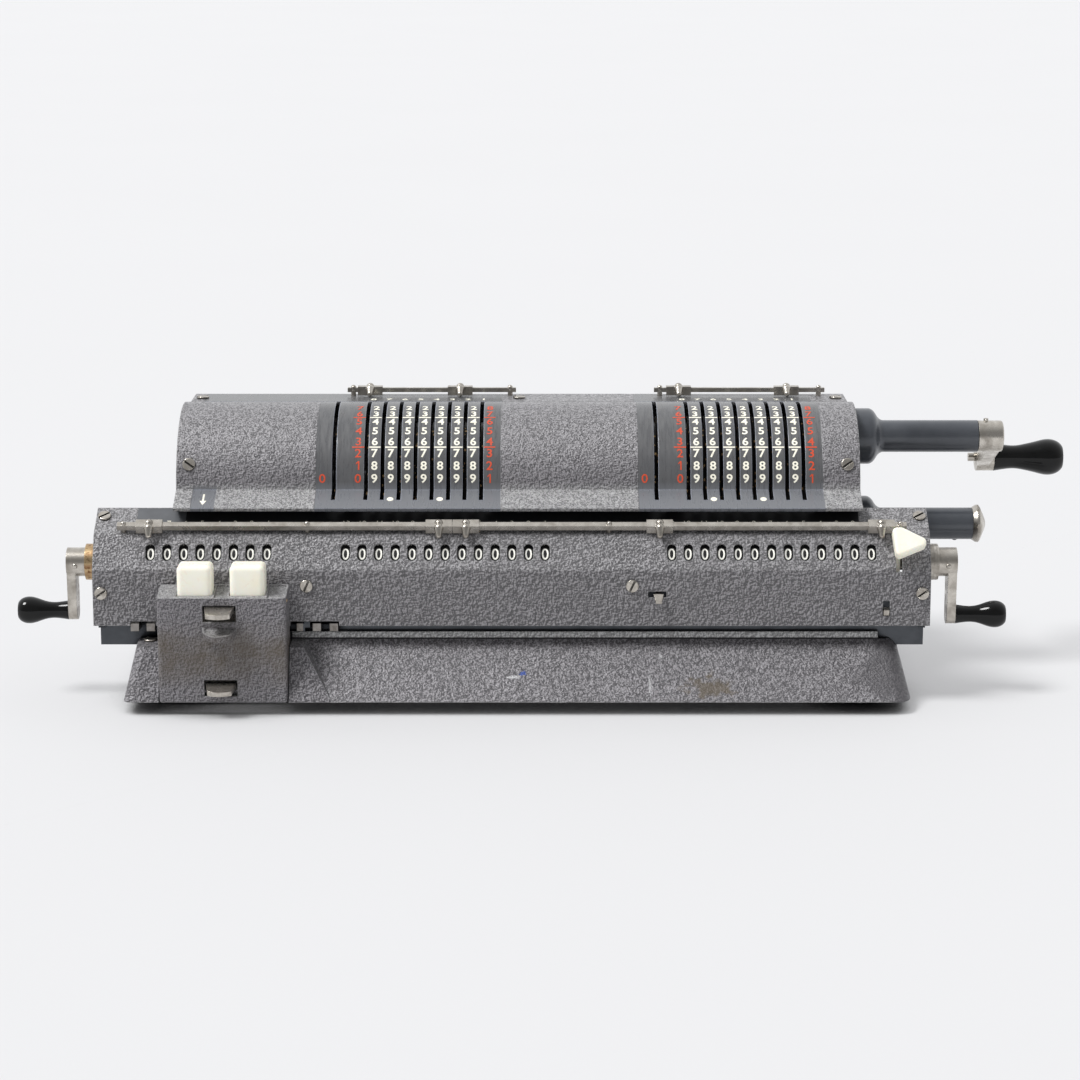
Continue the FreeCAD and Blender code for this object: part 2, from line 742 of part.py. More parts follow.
def crank_arm():
    """Hub with a cross pin, and the arm with the boss that guides the locking pin."""
    hub_left = crank_tube_end + free_gap
    tip = crank_point()
    hub = rod(hub_left, hub_left + crank_hub_length, 0, crank_axis_z, crank_hub_radius)
    outer_rim = [edge for edge in hub.Edges if edge.Closed and edge.CenterOfMass.x > hub_left + 1]
    hub = hub.makeFillet(crank_hub_edge, outer_rim)
    bar = arm_bar(crank_arm_left, crank_arm_right - crank_bar_inset, crank_radius, crank_bar_root,
                  crank_bar_tip, 0, crank_axis_z, tip)
    boss = rod(crank_arm_left, crank_arm_right, tip[0], tip[1], crank_arm_end_radius)
    pin = Part.makeCylinder(cross_pin_radius, crank_hub_radius + cross_pin_rise,
                            point(0, crank_axis_z, hub_left + crank_pin_inset))
    arm = fused([hub, bar, boss, pin])
    return arm.cut([rod(gear_left, hub_left + crank_hub_socket, 0, crank_axis_z, shaft_radius),
                    rod(crank_arm_left - 1, crank_arm_right + 1, tip[0], tip[1],
                        lock_pin_radius + run_fit)])


def handle(x0, length, neck, bulb, y, z):
    """Turned grip that grows from x0: a waisted neck, a round bulb and a blunt end."""
    stations = [(along, neck * share) for along, share in handle_neck_shape]
    stations += [(along, bulb * share) for along, share in handle_bulb_shape]
    return turned_smooth([(x0 + along * length, radius) for along, radius in stations], y, z)


def crank_handle():
    """Black grip with the locking pin that runs through the arm."""
    y, z = crank_point()
    left = crank_arm_right + free_gap
    grip = handle(left, crank_handle_length, crank_handle_neck, crank_handle_bulb, y, z)
    pin = rod(lock_pin_tip, left + 4, y, z, lock_pin_radius)
    return fused([grip, pin])


# ---- carriage ----

def carriage_x(offset):
    return carriage_centre + offset


def offset_profile(outline, inset):
    """The open outline moved inwards (to its right) by the inset."""
    directions = []
    for (y0, z0), (y1, z1) in zip(outline, outline[1:]):
        length = math.hypot(y1 - y0, z1 - z0)
        directions.append(((y1 - y0) / length, (z1 - z0) / length))
    moved = []
    for index, (y, z) in enumerate(outline):
        before = directions[max(index - 1, 0)]
        after = directions[min(index, len(directions) - 1)]
        normal = (before[1] + after[1], -before[0] - after[0])
        scale = inset * 2 / (normal[0] ** 2 + normal[1] ** 2)
        moved.append((y + normal[0] * scale, z + normal[1] * scale))
    return moved


def carriage_cover():
    """Bent sheet with its two end walls, the number windows and the slots of its levers."""
    outer = carriage_profile
    inner = offset_profile(outer, carriage_wall)
    left = carriage_x(-carriage_half)
    right = carriage_x(carriage_half)
    shell = prism(outer + inner[::-1], left, right)
    bends = [edge for edge in shell.Edges
             if edge.BoundBox.XLength > carriage_half
             and any(math.hypot(edge.CenterOfMass.y - y, edge.CenterOfMass.z - z) < 0.01
                     for y, z in outer[1:-1])]
    shell = shell.makeFillet(carriage_bend, bends)
    closed = closed_profile()
    ends = []
    for x0 in (left, right - carriage_end_wall):
        end = prism(closed, x0, x0 + carriage_end_wall)
        bends = [edge for edge in end.Edges
                 if edge.BoundBox.XLength > carriage_end_wall * 0.9
                 and any(math.hypot(edge.CenterOfMass.y - y, edge.CenterOfMass.z - z) < 0.01
                         for y, z in outer[1:-1])]
        ends.append(end.makeFillet(carriage_bend, bends))
    cover = fused([shell] + ends)
    bores = [rod(left - 1, left + carriage_end_wall + 1, register_y, register_z, bush_neck_radius),
             rod(right - carriage_end_wall - 1, right + 1, register_y, register_z, bush_neck_radius)]
    return cover.cut(windows() + bores + notches() + [knob_slot(), point_slot(), register_slot()])


def closed_profile():
    """Outline of the carriage cover, closed at its open back."""
    return carriage_profile + [(carriage_profile[-1][0], carriage_profile[0][1])]


def wheel_positions(first, count):
    return [carriage_x(first + digit_pitch * index) for index in range(count)]


def counter_positions():
    return wheel_positions(counter_first, counter_count)


def result_positions():
    return wheel_positions(result_first, result_count) + \
        wheel_positions(result_first + group_pitch, result_count)


def windows():
    """Oval openings over the number wheels, square to the sloping face."""
    tilt = math.atan2(face_top[1] - face_foot[1], face_top[0] - face_foot[0])
    along = FreeCAD.Vector(0, math.cos(tilt), math.sin(tilt))
    inwards = FreeCAD.Vector(0, along.z, -along.y)
    centre = point((face_foot[0] + face_top[0]) / 2, (face_foot[1] + face_top[1]) / 2) - inwards * 3
    half = (window_height - window_width) / 2
    radius = window_width / 2
    openings = []
    for x in counter_positions() + result_positions():
        middle = centre + FreeCAD.Vector(x, 0, 0)
        side = FreeCAD.Vector(radius, 0, 0)
        upper = middle + along * half
        lower = middle - along * half
        edges = [
            Part.LineSegment(lower + side, upper + side).toShape(),
            Part.Arc(upper + side, upper + along * radius, upper - side).toShape(),
            Part.LineSegment(upper - side, lower - side).toShape(),
            Part.Arc(lower - side, lower - along * radius, lower + side).toShape(),
        ]
        openings.append(Part.Face(Part.Wire(edges)).extrude(inwards * 8))
    return openings


def notches():
    """Cut-outs in the lower edge of the front wall, in front of the rack clips."""
    front, foot = carriage_profile[0]
    left = carriage_x(-carriage_half)
    return [block(left + start, left + end, front - 1, front + carriage_wall + 1,
                  foot - 1, foot + clip_notch_height) for start, end in clip_notches]


def knob_slot():
    """Slot along which the ivory knob's stem swings about the register shaft."""
    margin = math.degrees(knob_stem_depth / knob_inner_radius)
    low = knob_angle - knob_travel - margin
    high = knob_angle + margin
    inner = [on_circle(wheel_radius, angle, register_y, register_z) for angle in (low, high)]
    outer = [on_circle(2 * knob_inner_radius, angle, register_y, register_z) for angle in (low, high)]
    x = carriage_x(carriage_half - knob_slot_inset)
    return prism([inner[0], outer[0], outer[1], inner[1]], x - knob_slot_width / 2, x + knob_slot_width / 2)


def front_slot(x, z, width, height):
    """Cutter for a slot in the front wall of the carriage."""
    front = carriage_profile[0][0]
    return block(x - width / 2, x + width / 2, front - 1, front + 3 * carriage_wall,
                 z - height / 2, z + height / 2)


def point_slot():
    return front_slot(carriage_x(point_slider_x), point_slider_z, point_slot_length, point_slot_height)


def register_slot():
    return front_slot(carriage_x(carriage_half - register_slider_inset), register_slider_z,
                      register_slot_width, register_slot_height)


def bearing_outline():
    """Section of the plates that carry the register shafts, inside the cover."""
    inner = offset_profile(carriage_profile, carriage_wall + bearing_gap)
    rear = inner[-1]
    return [(inner[0][0], frame_bar_top)] + inner[1:-1] + \
        [(rear[0] - 1.5, rear[1] - 1.5), (rear[0] - 0.5, rear[1] - 8), (frame_web_rear, register_z),
         (frame_web_rear, frame_bar_top)]


def carriage_frame():
    """Steel bar and web along the carriage, with bearing plates, rail lugs and shift rack."""
    left = carriage_x(-carriage_half + carriage_end_wall)
    right = carriage_x(carriage_half - carriage_end_wall)
    bar = block(left, right, frame_bar_front, frame_bar_rear, frame_bar_bottom, frame_bar_top)
    web = block(left, right, frame_bar_front, frame_web_rear, frame_bar_top - frame_web_thickness,
                frame_bar_top)
    back = block(left, right, frame_web_rear - frame_back_wall, frame_web_rear, frame_bar_top - 1,
                 frame_back_top)
    pieces = [bar, web, back]
    outline = bearing_outline()
    middle = carriage_x(middle_plate_x)
    width = bearing_plate_width
    for x0 in (left, middle - width / 2, right - width):
        pieces.append(prism(outline, x0, x0 + width))
    for side in (-1, 1):
        x0 = carriage_x(side * lug_share * carriage_half) - lug_width / 2
        pieces.append(block(x0, x0 + lug_width, rail_y - rail_radius - rail_wall,
                            rail_y + rail_radius + rail_wall, rail_z - rail_radius - lug_cover,
                            frame_bar_top - frame_web_thickness + 0.5))
    for index in range(rack_teeth):
        x = carriage_x((index - (rack_teeth - 1) / 2) * digit_pitch)
        pieces.append(block(x - rack_tooth / 2, x + rack_tooth / 2, frame_web_rear - 1,
                            frame_web_rear + 3, frame_bar_top - frame_web_thickness, frame_bar_top))
    for inset in clip_insets:
        x = carriage_x(inset - carriage_half)
        pieces.append(block(x - clip_width / 2, x + clip_width / 2, clip_front, frame_bar_front + 1,
                            clip_bottom, clip_top))
    frame = fused(pieces)
    shaft = register_shaft_radius + run_fit
    bores = [rod(left - 1, right + 1, register_y, register_z, shaft),
             rod(left - 1, right + 1, rail_y, rail_z, rail_radius + run_fit)]
    return [frame.cut(bores)] + shaft_bushes()


def shaft_bushes():
    """Flanged bushes of the two clearing shafts, in the end walls of the carriage."""
    bushes = []
    for side in (-1, 1):
        wall = carriage_x(side * carriage_half)
        inner = wall - side * carriage_end_wall
        outer = wall + side * bush_length
        flange = rod(min(wall, outer), max(wall, outer), register_y, register_z, bush_radius)
        neck = rod(min(wall, inner), max(wall, inner), register_y, register_z, bush_neck_radius)
        bore = rod(min(inner, outer) - 1, max(inner, outer) + 1, register_y, register_z,
                   register_shaft_radius + run_fit)
        bushes.append(fused([flange, neck]).cut(bore))
    return bushes


def wheel(x):
    half = wheel_width / 2
    disc = rod(x - half, x + half, register_y, register_z, wheel_radius)
    rims = [edge for edge in disc.Edges if edge.Closed]
    disc = disc.makeChamfer(wheel_chamfer, rims)
    reach = digit_pitch / 2 - run_fit
    hub = rod(x - reach, x + reach, register_y, register_z, register_shaft_radius + wheel_hub_wall)
    bore = rod(x - digit_pitch, x + digit_pitch, register_y, register_z, register_shaft_radius + run_fit)
    return fused([disc, hub]).cut(bore)


def counter_wheels():
    return [wheel(x) for x in counter_positions()]


def result_wheels():
    return [wheel(x) for x in result_positions()]


def marker_rail(first, last, posts, y, z, size, rise):
    """Square bar between two ends, on short posts under screw domes."""
    half = size / 2
    pieces = [block(first, last, y - half, y + half, z - half, z + half)]
    for x in posts:
        pieces.append(Part.makeCylinder(post_radius, rise, FreeCAD.Vector(x, y, z - rise)))
        pieces.append(Part.makeSphere(post_nut_radius, FreeCAD.Vector(x, y, z + half)))
    return fused(pieces)


def leaned(shape):
    """A piece drawn upright on the carriage's marker rail, leaned over with the slope."""
    shape.rotate(point(marker_y, marker_z), FreeCAD.Vector(1, 0, 0), math.degrees(slope_tilt))
    return shape


def carriage_marker_rail():
    places = [carriage_x(offset) for offset in marker_posts]
    return leaned(marker_rail(places[0] - post_overhang, places[-1] + post_overhang, places,
                              marker_y, marker_z, marker_size, marker_rise))


def cover_height(y):
    """Z of the carriage cover's upper slope at y."""
    return face_top[1] + (y - face_top[0]) * math.tan(slope_tilt)


def rider(x, y, z, size):
    """Saddle over a marker rail, with a brim, a domed knob and a pointer in front."""
    inner = size / 2 + rider_gap
    outer = inner + rider_wall
    half = rider_length / 2
    top = block(x - half, x + half, y - outer - rider_brim, y + outer, z + inner, z + outer)
    body = block(x - half, x + half, y - outer, y + outer, z - rider_drop, z + outer)
    left = x - half - 1
    right = x + half + 1
    under = block(left, right, y - inner, y + outer + 1, z - rider_drop - 1, z - inner)
    room = block(left, right, y - inner, y + inner, z - rider_drop - 1, z + inner)
    knob = Part.makeSphere(rider_knob_radius, FreeCAD.Vector(x, y, z + outer - rider_knob_radius / 4))
    turn = math.radians(pointer_turn)
    tip = FreeCAD.Vector(x, y - outer, z + inner - rider_wall)
    outwards = FreeCAD.Vector(0, -math.sin(turn), -math.cos(turn))
    pointer = Part.makeCone(pointer_radius, pointer_tip, pointer_length, tip, outwards)
    nose = Part.makeSphere(pointer_radius, tip)
    end = Part.makeSphere(pointer_tip, tip + outwards * pointer_length)
    return fused([body, top, knob, nose, pointer, end]).cut([under, room])


def top_marker_rails():
    """Two square bars on posts that stand on the top strip, one over each rotor."""
    rails = []
    for offset, posts in zip(group_offsets, top_posts):
        places = [first_slot + offset + post for post in posts]
        rails.append(marker_rail(places[0] - post_overhang, places[-1] + post_overhang, places,
                                 top_marker_y, top_marker_z, top_marker_size, top_marker_rise))
    return rails


def carriage_screws():
    """Screws of the carriage cover: two at each end and two in its front."""
    slope = FreeCAD.Vector(0, -math.sin(slope_tilt), math.cos(slope_tilt))
    front = FreeCAD.Vector(0, -1, 0)
    top_y = (face_top[0] + 2 * slope_end[0]) / 3
    screws = []
    for side in (-1, 1):
        x = carriage_x(side * (carriage_half - end_screw_inset))
        screws.append(screw(point(top_y, cover_height(top_y), x), slope, end_slot_turn))
        screws.append(screw(point(front_face(end_screw_z), end_screw_z, x), front, end_slot_turn))
    y = front_face(front_screw_z)
    for offset in front_screws:
        screws.append(screw(point(y, front_screw_z, carriage_x(offset)), front, front_slot_turn))
    return screws


def front_face(z):
    """Y of the carriage cover's front wall at a height."""
    foot = carriage_profile[0]
    return foot[0] + (z - foot[1]) * (face_foot[0] - foot[0]) / (face_foot[1] - foot[1])


# ---- clearing cranks ----

def clear_crank(side, arm_radius):
    """Shaft through the register wheels, with hub, hanging arm and handle spindle."""
    wall = carriage_x(side * carriage_half)
    hub_start = wall + side * (bush_length + free_gap / 2)
    hub_end = hub_start + side * (clear_hub_length - free_gap / 2)
    arm_start = hub_end - side * clear_arm_thickness
    inner_end = carriage_x(middle_plate_x)
    spindle_end = hub_end + side * clear_handle_length * spindle_share
    tip = (register_y, register_z - arm_radius)
    shaft_start = hub_start + side * 1.0
    shaft = rod(min(shaft_start, inner_end + side * free_gap), max(shaft_start, inner_end + side * free_gap),
                register_y, register_z, register_shaft_radius)
    hub = rod(min(hub_start, hub_end), max(hub_start, hub_end), register_y, register_z, clear_hub_radius)
    arm = arm_bar(min(arm_start, hub_end), max(arm_start, hub_end), arm_radius, clear_arm_root_radius,
                  clear_arm_end_radius, register_y, register_z, tip)
    spindle = rod(min(arm_start, spindle_end), max(arm_start, spindle_end), tip[0], tip[1], spindle_radius)
    return fused([shaft, hub, arm, spindle])


def clear_handle(side, arm_radius):
    """Black grip that spins on the spindle of its clearing crank."""
    wall = carriage_x(side * carriage_half)
    start = wall + side * (bush_length + clear_hub_length + free_gap)
    y, z = register_y, register_z - arm_radius
    grip = handle(start, clear_handle_length, clear_handle_neck, clear_handle_bulb, y, z)
    if side < 0:
        grip = grip.mirror(FreeCAD.Vector(start, y, z), FreeCAD.Vector(1, 0, 0))
    spindle_end = wall + side * (bush_length + clear_hub_length
                                 + clear_handle_length * spindle_share)
    far = spindle_end + side * free_gap
    near = start - side
    return grip.cut(rod(min(near, far), max(near, far), y, z, spindle_radius + run_fit))


# ---- small controls ----

def transfer_knob():
    """Rounded triangular ivory knob on a stem that swings about the register shaft."""
    stem_x = carriage_x(carriage_half - knob_slot_inset)
    outer_z = register_z + knob_inner_radius + knob_thickness
    centre_x = carriage_x(carriage_half - knob_inset)
    corners = [FreeCAD.Vector(centre_x + dx, register_y + dy, register_z + knob_inner_radius)
               for dx, dy in knob_outline]
    cap = Part.Face(Part.makePolygon(corners + corners[:1])).extrude(FreeCAD.Vector(0, 0, knob_thickness))
    upright = [edge for edge in cap.Edges if edge.BoundBox.ZLength > knob_thickness * 0.9]
    cap = cap.makeFillet(knob_corner, upright)
    rim = [edge for edge in cap.Edges if edge.CenterOfMass.z > outer_z - 0.01]
    cap = cap.makeFillet(knob_edge, rim)
    half = knob_slot_width / 2 - free_gap
    stem = block(stem_x - half, stem_x + half, register_y - half, register_y + half,
                 register_z + knob_ring_radius - 1, register_z + knob_inner_radius + 1)
    ring = rod(stem_x - half, stem_x + half, register_y, register_z, knob_ring_radius)
    knob = fused([cap, stem, ring])
    knob = knob.cut(rod(stem_x - 5, stem_x + 5, register_y, register_z, register_shaft_radius + run_fit))
    knob.rotate(FreeCAD.Vector(0, register_y, register_z), FreeCAD.Vector(1, 0, 0), 90.0 - knob_angle)
    return knob


def keeper(x, z, width, height):
    """Plate behind the front wall that holds a slider in its slot."""
    y = carriage_profile[0][0] + 2 * carriage_wall
    return block(x - width / 2, x + width / 2, y, y + keeper_thickness, z - height / 2, z + height / 2)


def point_slider():
    """Nickel slider with a tapered finger that is bent down in front of its slot."""
    x = carriage_x(point_slider_x) + point_rest
    face = front_face(point_slider_z)
    root = face - finger_thickness
    low = point_slider_z - finger_thickness / 2
    high = low + finger_thickness
    stem = block(x - finger_tip_width / 2, x + finger_tip_width / 2, root,
                 carriage_profile[0][0] + 2 * carriage_wall + 1, low, high)
    tip = face - finger_reach
    side = [(root, high), (tip, high - finger_drop), (tip, low - finger_drop),
            (root - finger_thickness, low), (root, low)]
    finger = prism(side, x - finger_width / 2, x + finger_width / 2)
    plan = [(x - finger_width / 2, root), (x + finger_width / 2, root),
            (x + finger_tip_width / 2, tip), (x - finger_tip_width / 2, tip)]
    corners = [FreeCAD.Vector(corner_x, corner_y, low - finger_drop) for corner_x, corner_y in plan]
    taper = Part.Face(Part.makePolygon(corners + corners[:1]))
    taper = taper.extrude(FreeCAD.Vector(0, 0, finger_drop + finger_thickness))
    back = keeper(x, point_slider_z, finger_tip_width, point_slot_height + 2 * keeper_margin)
    return fused([stem, finger.common(taper), back])


def register_slider():
    """Small nickel slider in the upright slot at the right end."""
    x = carriage_x(carriage_half - register_slider_inset)
    z = register_slider_z - register_slot_height / 2 + register_rest
    half = register_slot_width / 2 - free_gap
    rear = carriage_profile[0][0] + 2 * carriage_wall + 1
    stem = block(x - half, x + half, front_face(z) - keeper_margin, rear,
                 z - slider_height / 2, z + slider_height / 2)
    return fused([stem, keeper(x, z, register_slot_width + 2 * keeper_margin, slider_height)])


# ---- key box ----

def key_box_form(bottom=box_bottom, inset=0.0, roof=0.0):
    """Outer form of the key box, with its sloping top, or of its hollow when it is set in."""
    outline = [(box_front + inset, bottom), (box_front + inset, box_top_front - roof),
               (box_rear - inset, box_top - roof), (box_rear - inset, bottom)]
    return prism(outline, box_left + inset, box_right - inset)


def tab_slot(z):
    half = tab_slot_width / 2
    return block(tab_centre_x - half, tab_centre_x + half, box_front - 1, box_front + box_wall + 1,
                 z - tab_slot_height / 2, z + tab_slot_height / 2)


def key_housing():
    """Box with key openings in its top, two tab slots and a half-moon thumb shelf."""
    shell = key_box_form()
    upright = [edge for edge in shell.Edges
               if edge.BoundBox.ZLength > box_top / 2 and edge.CenterOfMass.y < box_front + 0.1]
    shell = shell.makeFillet(box_corner, upright)
    half_width = key_width / 2 + free_gap
    half_depth = key_depth / 2 + free_gap
    hollow = key_box_form(box_bottom - 1, box_wall, box_wall)
    cuts = [hollow, tab_slot(release_slot_z), tab_slot(lock_slot_z)]
    ends = [key_centres[1] - half_width, box_right]
    for x, end in zip(key_centres, ends):
        cuts.append(block(x - half_width, x + half_width, key_centre_y - half_depth,
                          key_centre_y + half_depth, box_top_front - 2 * box_wall, box_top + 1))
        tray = [(box_front + box_rim, box_top), (box_front + box_rim, box_top_front - box_tray),
                (box_rear - box_rim, box_top - box_tray), (box_rear - box_rim, box_top + 1)]
        cuts.append(prism(tray, x + half_width + box_rim, end - box_rim))
    return fused([shell.cut(cuts), thumb_shelf()])


def half_moon(reach, width, z, thickness):
    """Plate that stands out of the front of the box with a round front edge."""
    centre = FreeCAD.Vector(tab_centre_x, box_front + width / 2 - reach, z)
    disc = Part.makeCylinder(width / 2, thickness, centre)
    return disc.common(block(tab_centre_x - width, tab_centre_x + width, box_front - reach, box_front,
                             z - 1, z + thickness + 1))


def thumb_shelf():
    """Dished half-moon shelf that droops from the front of the box."""
    plate = half_moon(shelf_reach, shelf_width, shelf_z - shelf_thickness, shelf_thickness)
    dish = half_moon(shelf_reach - shelf_rim, shelf_width - 2 * shelf_rim, shelf_z - shelf_dish,
                     shelf_thickness)
    root = block(tab_centre_x - shelf_width / 2, tab_centre_x + shelf_width / 2, box_front,
                 box_front + box_wall / 2, shelf_z - shelf_thickness, shelf_z)
    return fused([drooped(plate.cut(dish), shelf_z, shelf_tilt), root])


def drooped(shape, z, angle):
    """A piece in front of the box turned down about the box's front edge at a height."""
    shape.rotate(point(box_front, z), FreeCAD.Vector(1, 0, 0), angle)
    return shape


def shift_key(x):
    """Ivory key cap on a stem that is guided inside the box."""
    half = key_width / 2
    depth = key_depth / 2
    cap = block(x - half, x + half, key_centre_y - depth, key_centre_y + depth, key_skirt_z, key_top)
    soft = [edge for edge in cap.Edges if edge.CenterOfMass.z > key_skirt_z + 0.1]
    cap = cap.makeFillet(key_edge, soft)
    stem = block(x - key_stem / 2, x + key_stem / 2, key_centre_y - key_stem / 2,
                 key_centre_y + key_stem / 2, key_bottom_z, key_skirt_z + 1)
    return fused([cap, stem])


def box_tab(top):
    """Nickel finger tab with a bowed front edge that droops from its slot."""
    half = tab_width / 2
    front_half = tab_front_width / 2
    front = box_front - tab_reach
    low = top - tab_thickness
    rear_left, rear_right = [FreeCAD.Vector(tab_centre_x + reach, box_front, low)
                             for reach in (-half, half)]
    left, right = [FreeCAD.Vector(tab_centre_x + reach, front + tab_bow, low)
                   for reach in (-front_half, front_half)]
    bow = Part.Arc(right, FreeCAD.Vector(tab_centre_x, front, low), left).toShape()
    sides = [Part.LineSegment(a, b).toShape()
             for a, b in ((left, rear_left), (rear_left, rear_right), (rear_right, right))]
    plate = Part.Face(Part.Wire(sides + [bow])).extrude(FreeCAD.Vector(0, 0, tab_thickness))
    inside = box_front + box_wall + free_gap
    body = block(tab_centre_x - half, tab_centre_x + half, box_front - free_gap, inside + tab_flange,
                 low, top)
    flange = block(tab_centre_x - half - tab_flange, tab_centre_x + half + tab_flange, inside,
                   inside + tab_flange, low - tab_flange, top + tab_flange)
    return fused([drooped(plate, top, tab_tilt), body, flange])


def build():
    nodes = {
        "base_casting": base_casting(),
        "rubber_feet": rubber_feet(),
        "side_frames": side_frames(),
        "drum_cover": drum_cover(),
        "rear_cover": rear_cover(),
        "top_marker_rails": top_marker_rails(),
        "body_screws": body_screws(),
        "key_housing": key_housing(),
        "bearing_tubes": bearing_tubes(),
        "catch_cap": catch_cap(),
        "frame_rails": frame_rails(),
        "crank_shaft": crank_shaft(),
        "crank_arm": crank_arm(),
        "crank_handle": crank_handle(),
        "drum_shaft": drum_shaft(),
        "pinwheels": pinwheels(),
        "carriage_cover": carriage_cover(),
        "carriage_frame": carriage_frame(),
        "carriage_marker_rail": carriage_marker_rail(),
        "carriage_screws": carriage_screws(),
        "counter_wheels": counter_wheels(),
        "result_wheels": result_wheels(),
        "clear_crank_left": clear_crank(-1, left_arm_radius),
        "clear_crank_right": clear_crank(1, right_arm_radius),
        "clear_handle_left": clear_handle(-1, left_arm_radius),
        "clear_handle_right": clear_handle(1, right_arm_radius),
        "transfer_knob": transfer_knob(),
        "point_slider": point_slider(),
        "register_slider": register_slider(),
        "shift_key_left": shift_key(key_centres[0]),
        "shift_key_right": shift_key(key_centres[1]),
        "release_tab": box_tab(release_tab_top),
        "lock_tab": box_tab(lock_tab_top),
    }
    for side, offset in zip(side_names, group_offsets):
        nodes["clearing_lever_" + side] = lever(first_slot + clear_slot_offset + offset)
        for index, x in enumerate(slot_centres(offset)):
            nodes["setting_lever_%s_%d" % (side, index + 1)] = lever(x)
    for index, offset in enumerate(comma_riders):
        saddle = rider(carriage_x(offset), marker_y, marker_z, marker_size)
        nodes["comma_rider_%d" % (index + 1)] = leaned(saddle)
    rotor_riders = [first_slot + offset + x for offset, pair in zip(group_offsets, top_riders) for x in pair]
    for index, x in enumerate(rotor_riders):
        nodes["top_rider_%d" % (index + 1)] = rider(x, top_marker_y, top_marker_z, top_marker_size)
    let_in_screws(nodes)
    return nodes


def let_in_screws(nodes):
    """Cut the screws' shanks out of what they hold."""
    body = nodes["body_screws"]
    nodes["drum_cover"] = nodes["drum_cover"].cut(body)
    nodes["rear_cover"] = nodes["rear_cover"].cut(body)
    nodes["side_frames"] = [frame.cut(body) for frame in nodes["side_frames"]]
    nodes["base_casting"] = nodes["base_casting"].cut(body)
    carriage = nodes["carriage_screws"]
    nodes["carriage_cover"] = nodes["carriage_cover"].cut(carriage)
    nodes["carriage_frame"] = [piece.cut(carriage) for piece in nodes["carriage_frame"]]


def export(nodes):
    os.makedirs("parts", exist_ok=True)
    shift = FreeCAD.Vector(-origin_x, -origin_y, 0)
    for name, shape in nodes.items():
        solids = shape if isinstance(shape, list) else [shape]
        solids = [solid for piece in solids for solid in piece.Solids]
        whole = solids[0] if len(solids) == 1 else Part.makeCompound(solids)
        whole = whole.copy()
        whole.translate(shift)
        whole.exportStep("parts/" + name + ".step")


export(build())
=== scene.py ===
import json
import math
import bpy
import bmesh
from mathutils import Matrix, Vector


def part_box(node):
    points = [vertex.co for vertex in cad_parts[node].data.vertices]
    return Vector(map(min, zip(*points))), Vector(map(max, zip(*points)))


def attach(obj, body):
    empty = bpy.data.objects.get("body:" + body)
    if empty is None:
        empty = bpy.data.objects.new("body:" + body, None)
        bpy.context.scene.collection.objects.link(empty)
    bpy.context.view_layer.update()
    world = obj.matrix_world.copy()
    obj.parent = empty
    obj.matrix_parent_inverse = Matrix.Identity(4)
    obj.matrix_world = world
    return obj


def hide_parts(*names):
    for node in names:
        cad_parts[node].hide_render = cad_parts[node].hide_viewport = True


# Looks of the twin pinwheel calculator. Places are in mm from the middle of the body, the drum
# axis and the table, as at() turns them into the frame's metres. Colours are linear.

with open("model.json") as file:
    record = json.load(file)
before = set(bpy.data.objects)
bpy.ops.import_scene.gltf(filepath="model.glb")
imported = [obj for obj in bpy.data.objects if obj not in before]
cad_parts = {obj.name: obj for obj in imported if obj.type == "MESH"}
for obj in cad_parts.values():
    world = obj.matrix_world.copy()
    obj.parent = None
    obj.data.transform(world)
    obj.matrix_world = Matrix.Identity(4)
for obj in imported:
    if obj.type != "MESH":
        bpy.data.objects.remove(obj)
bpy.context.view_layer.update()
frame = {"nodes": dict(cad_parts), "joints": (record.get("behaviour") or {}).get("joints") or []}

MM = 0.001
JOINTS = {joint["name"]: joint for joint in frame["joints"]}
DRUM = Vector(JOINTS["drum_turn"]["pos_m"])
REGISTER = Vector(JOINTS["counter_wheels_turn"]["pos_m"])


def at(x, y, z):
    """A point in mm, from the middle of the body, the drum axis and the table."""
    return Vector((DRUM.x + x * MM, DRUM.y + y * MM, z * MM))


def place_of(point):
    """The same the other way: mm from the middle of the body, the drum axis and the table."""
    return (point.x - DRUM.x) / MM, (point.y - DRUM.y) / MM, point.z / MM


def node_box(node):
    low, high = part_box(node)
    return place_of(low), place_of(high)


def middle_x(node):
    low, high = node_box(node)
    return (low[0] + high[0]) / 2


# ---- places that the looks share (mm) ----
COVER_LOW, COVER_HIGH = node_box("drum_cover")
CARRIAGE_LOW, CARRIAGE_HIGH = node_box("carriage_cover")
DRUM_Z = DRUM.z / MM
COVER_RADIUS = COVER_HIGH[2] - DRUM_Z
SLOT_COUNT = 8
SLOTS = {side: [middle_x(f"setting_lever_{side}_{k + 1}") for k in range(SLOT_COUNT)]
         for side in ("left", "right")}
CLEAR_SLOTS = {side: middle_x(f"clearing_lever_{side}") for side in ("left", "right")}
PITCH = SLOTS["left"][1] - SLOTS["left"][0]
GROUP = SLOTS["right"][0] - SLOTS["left"][0]
PANEL_LEFT, PANEL_RIGHT = SLOTS["left"][0] - 24.4, SLOTS["left"][-1] + 9.5
LEDGE_EDGE = -40.0           # the ledge runs forward from here
RIB_FRONT = -62.8            # of the rib on top of the base
RIB_SHADE_LINE = (30.8, 31.5)      # heights of the line of painted shade at its foot
BOX_GAP = 0.5                # width of the painted shade in the gap beside the key box
ARROW_PANEL = (-158.1, -146.7)


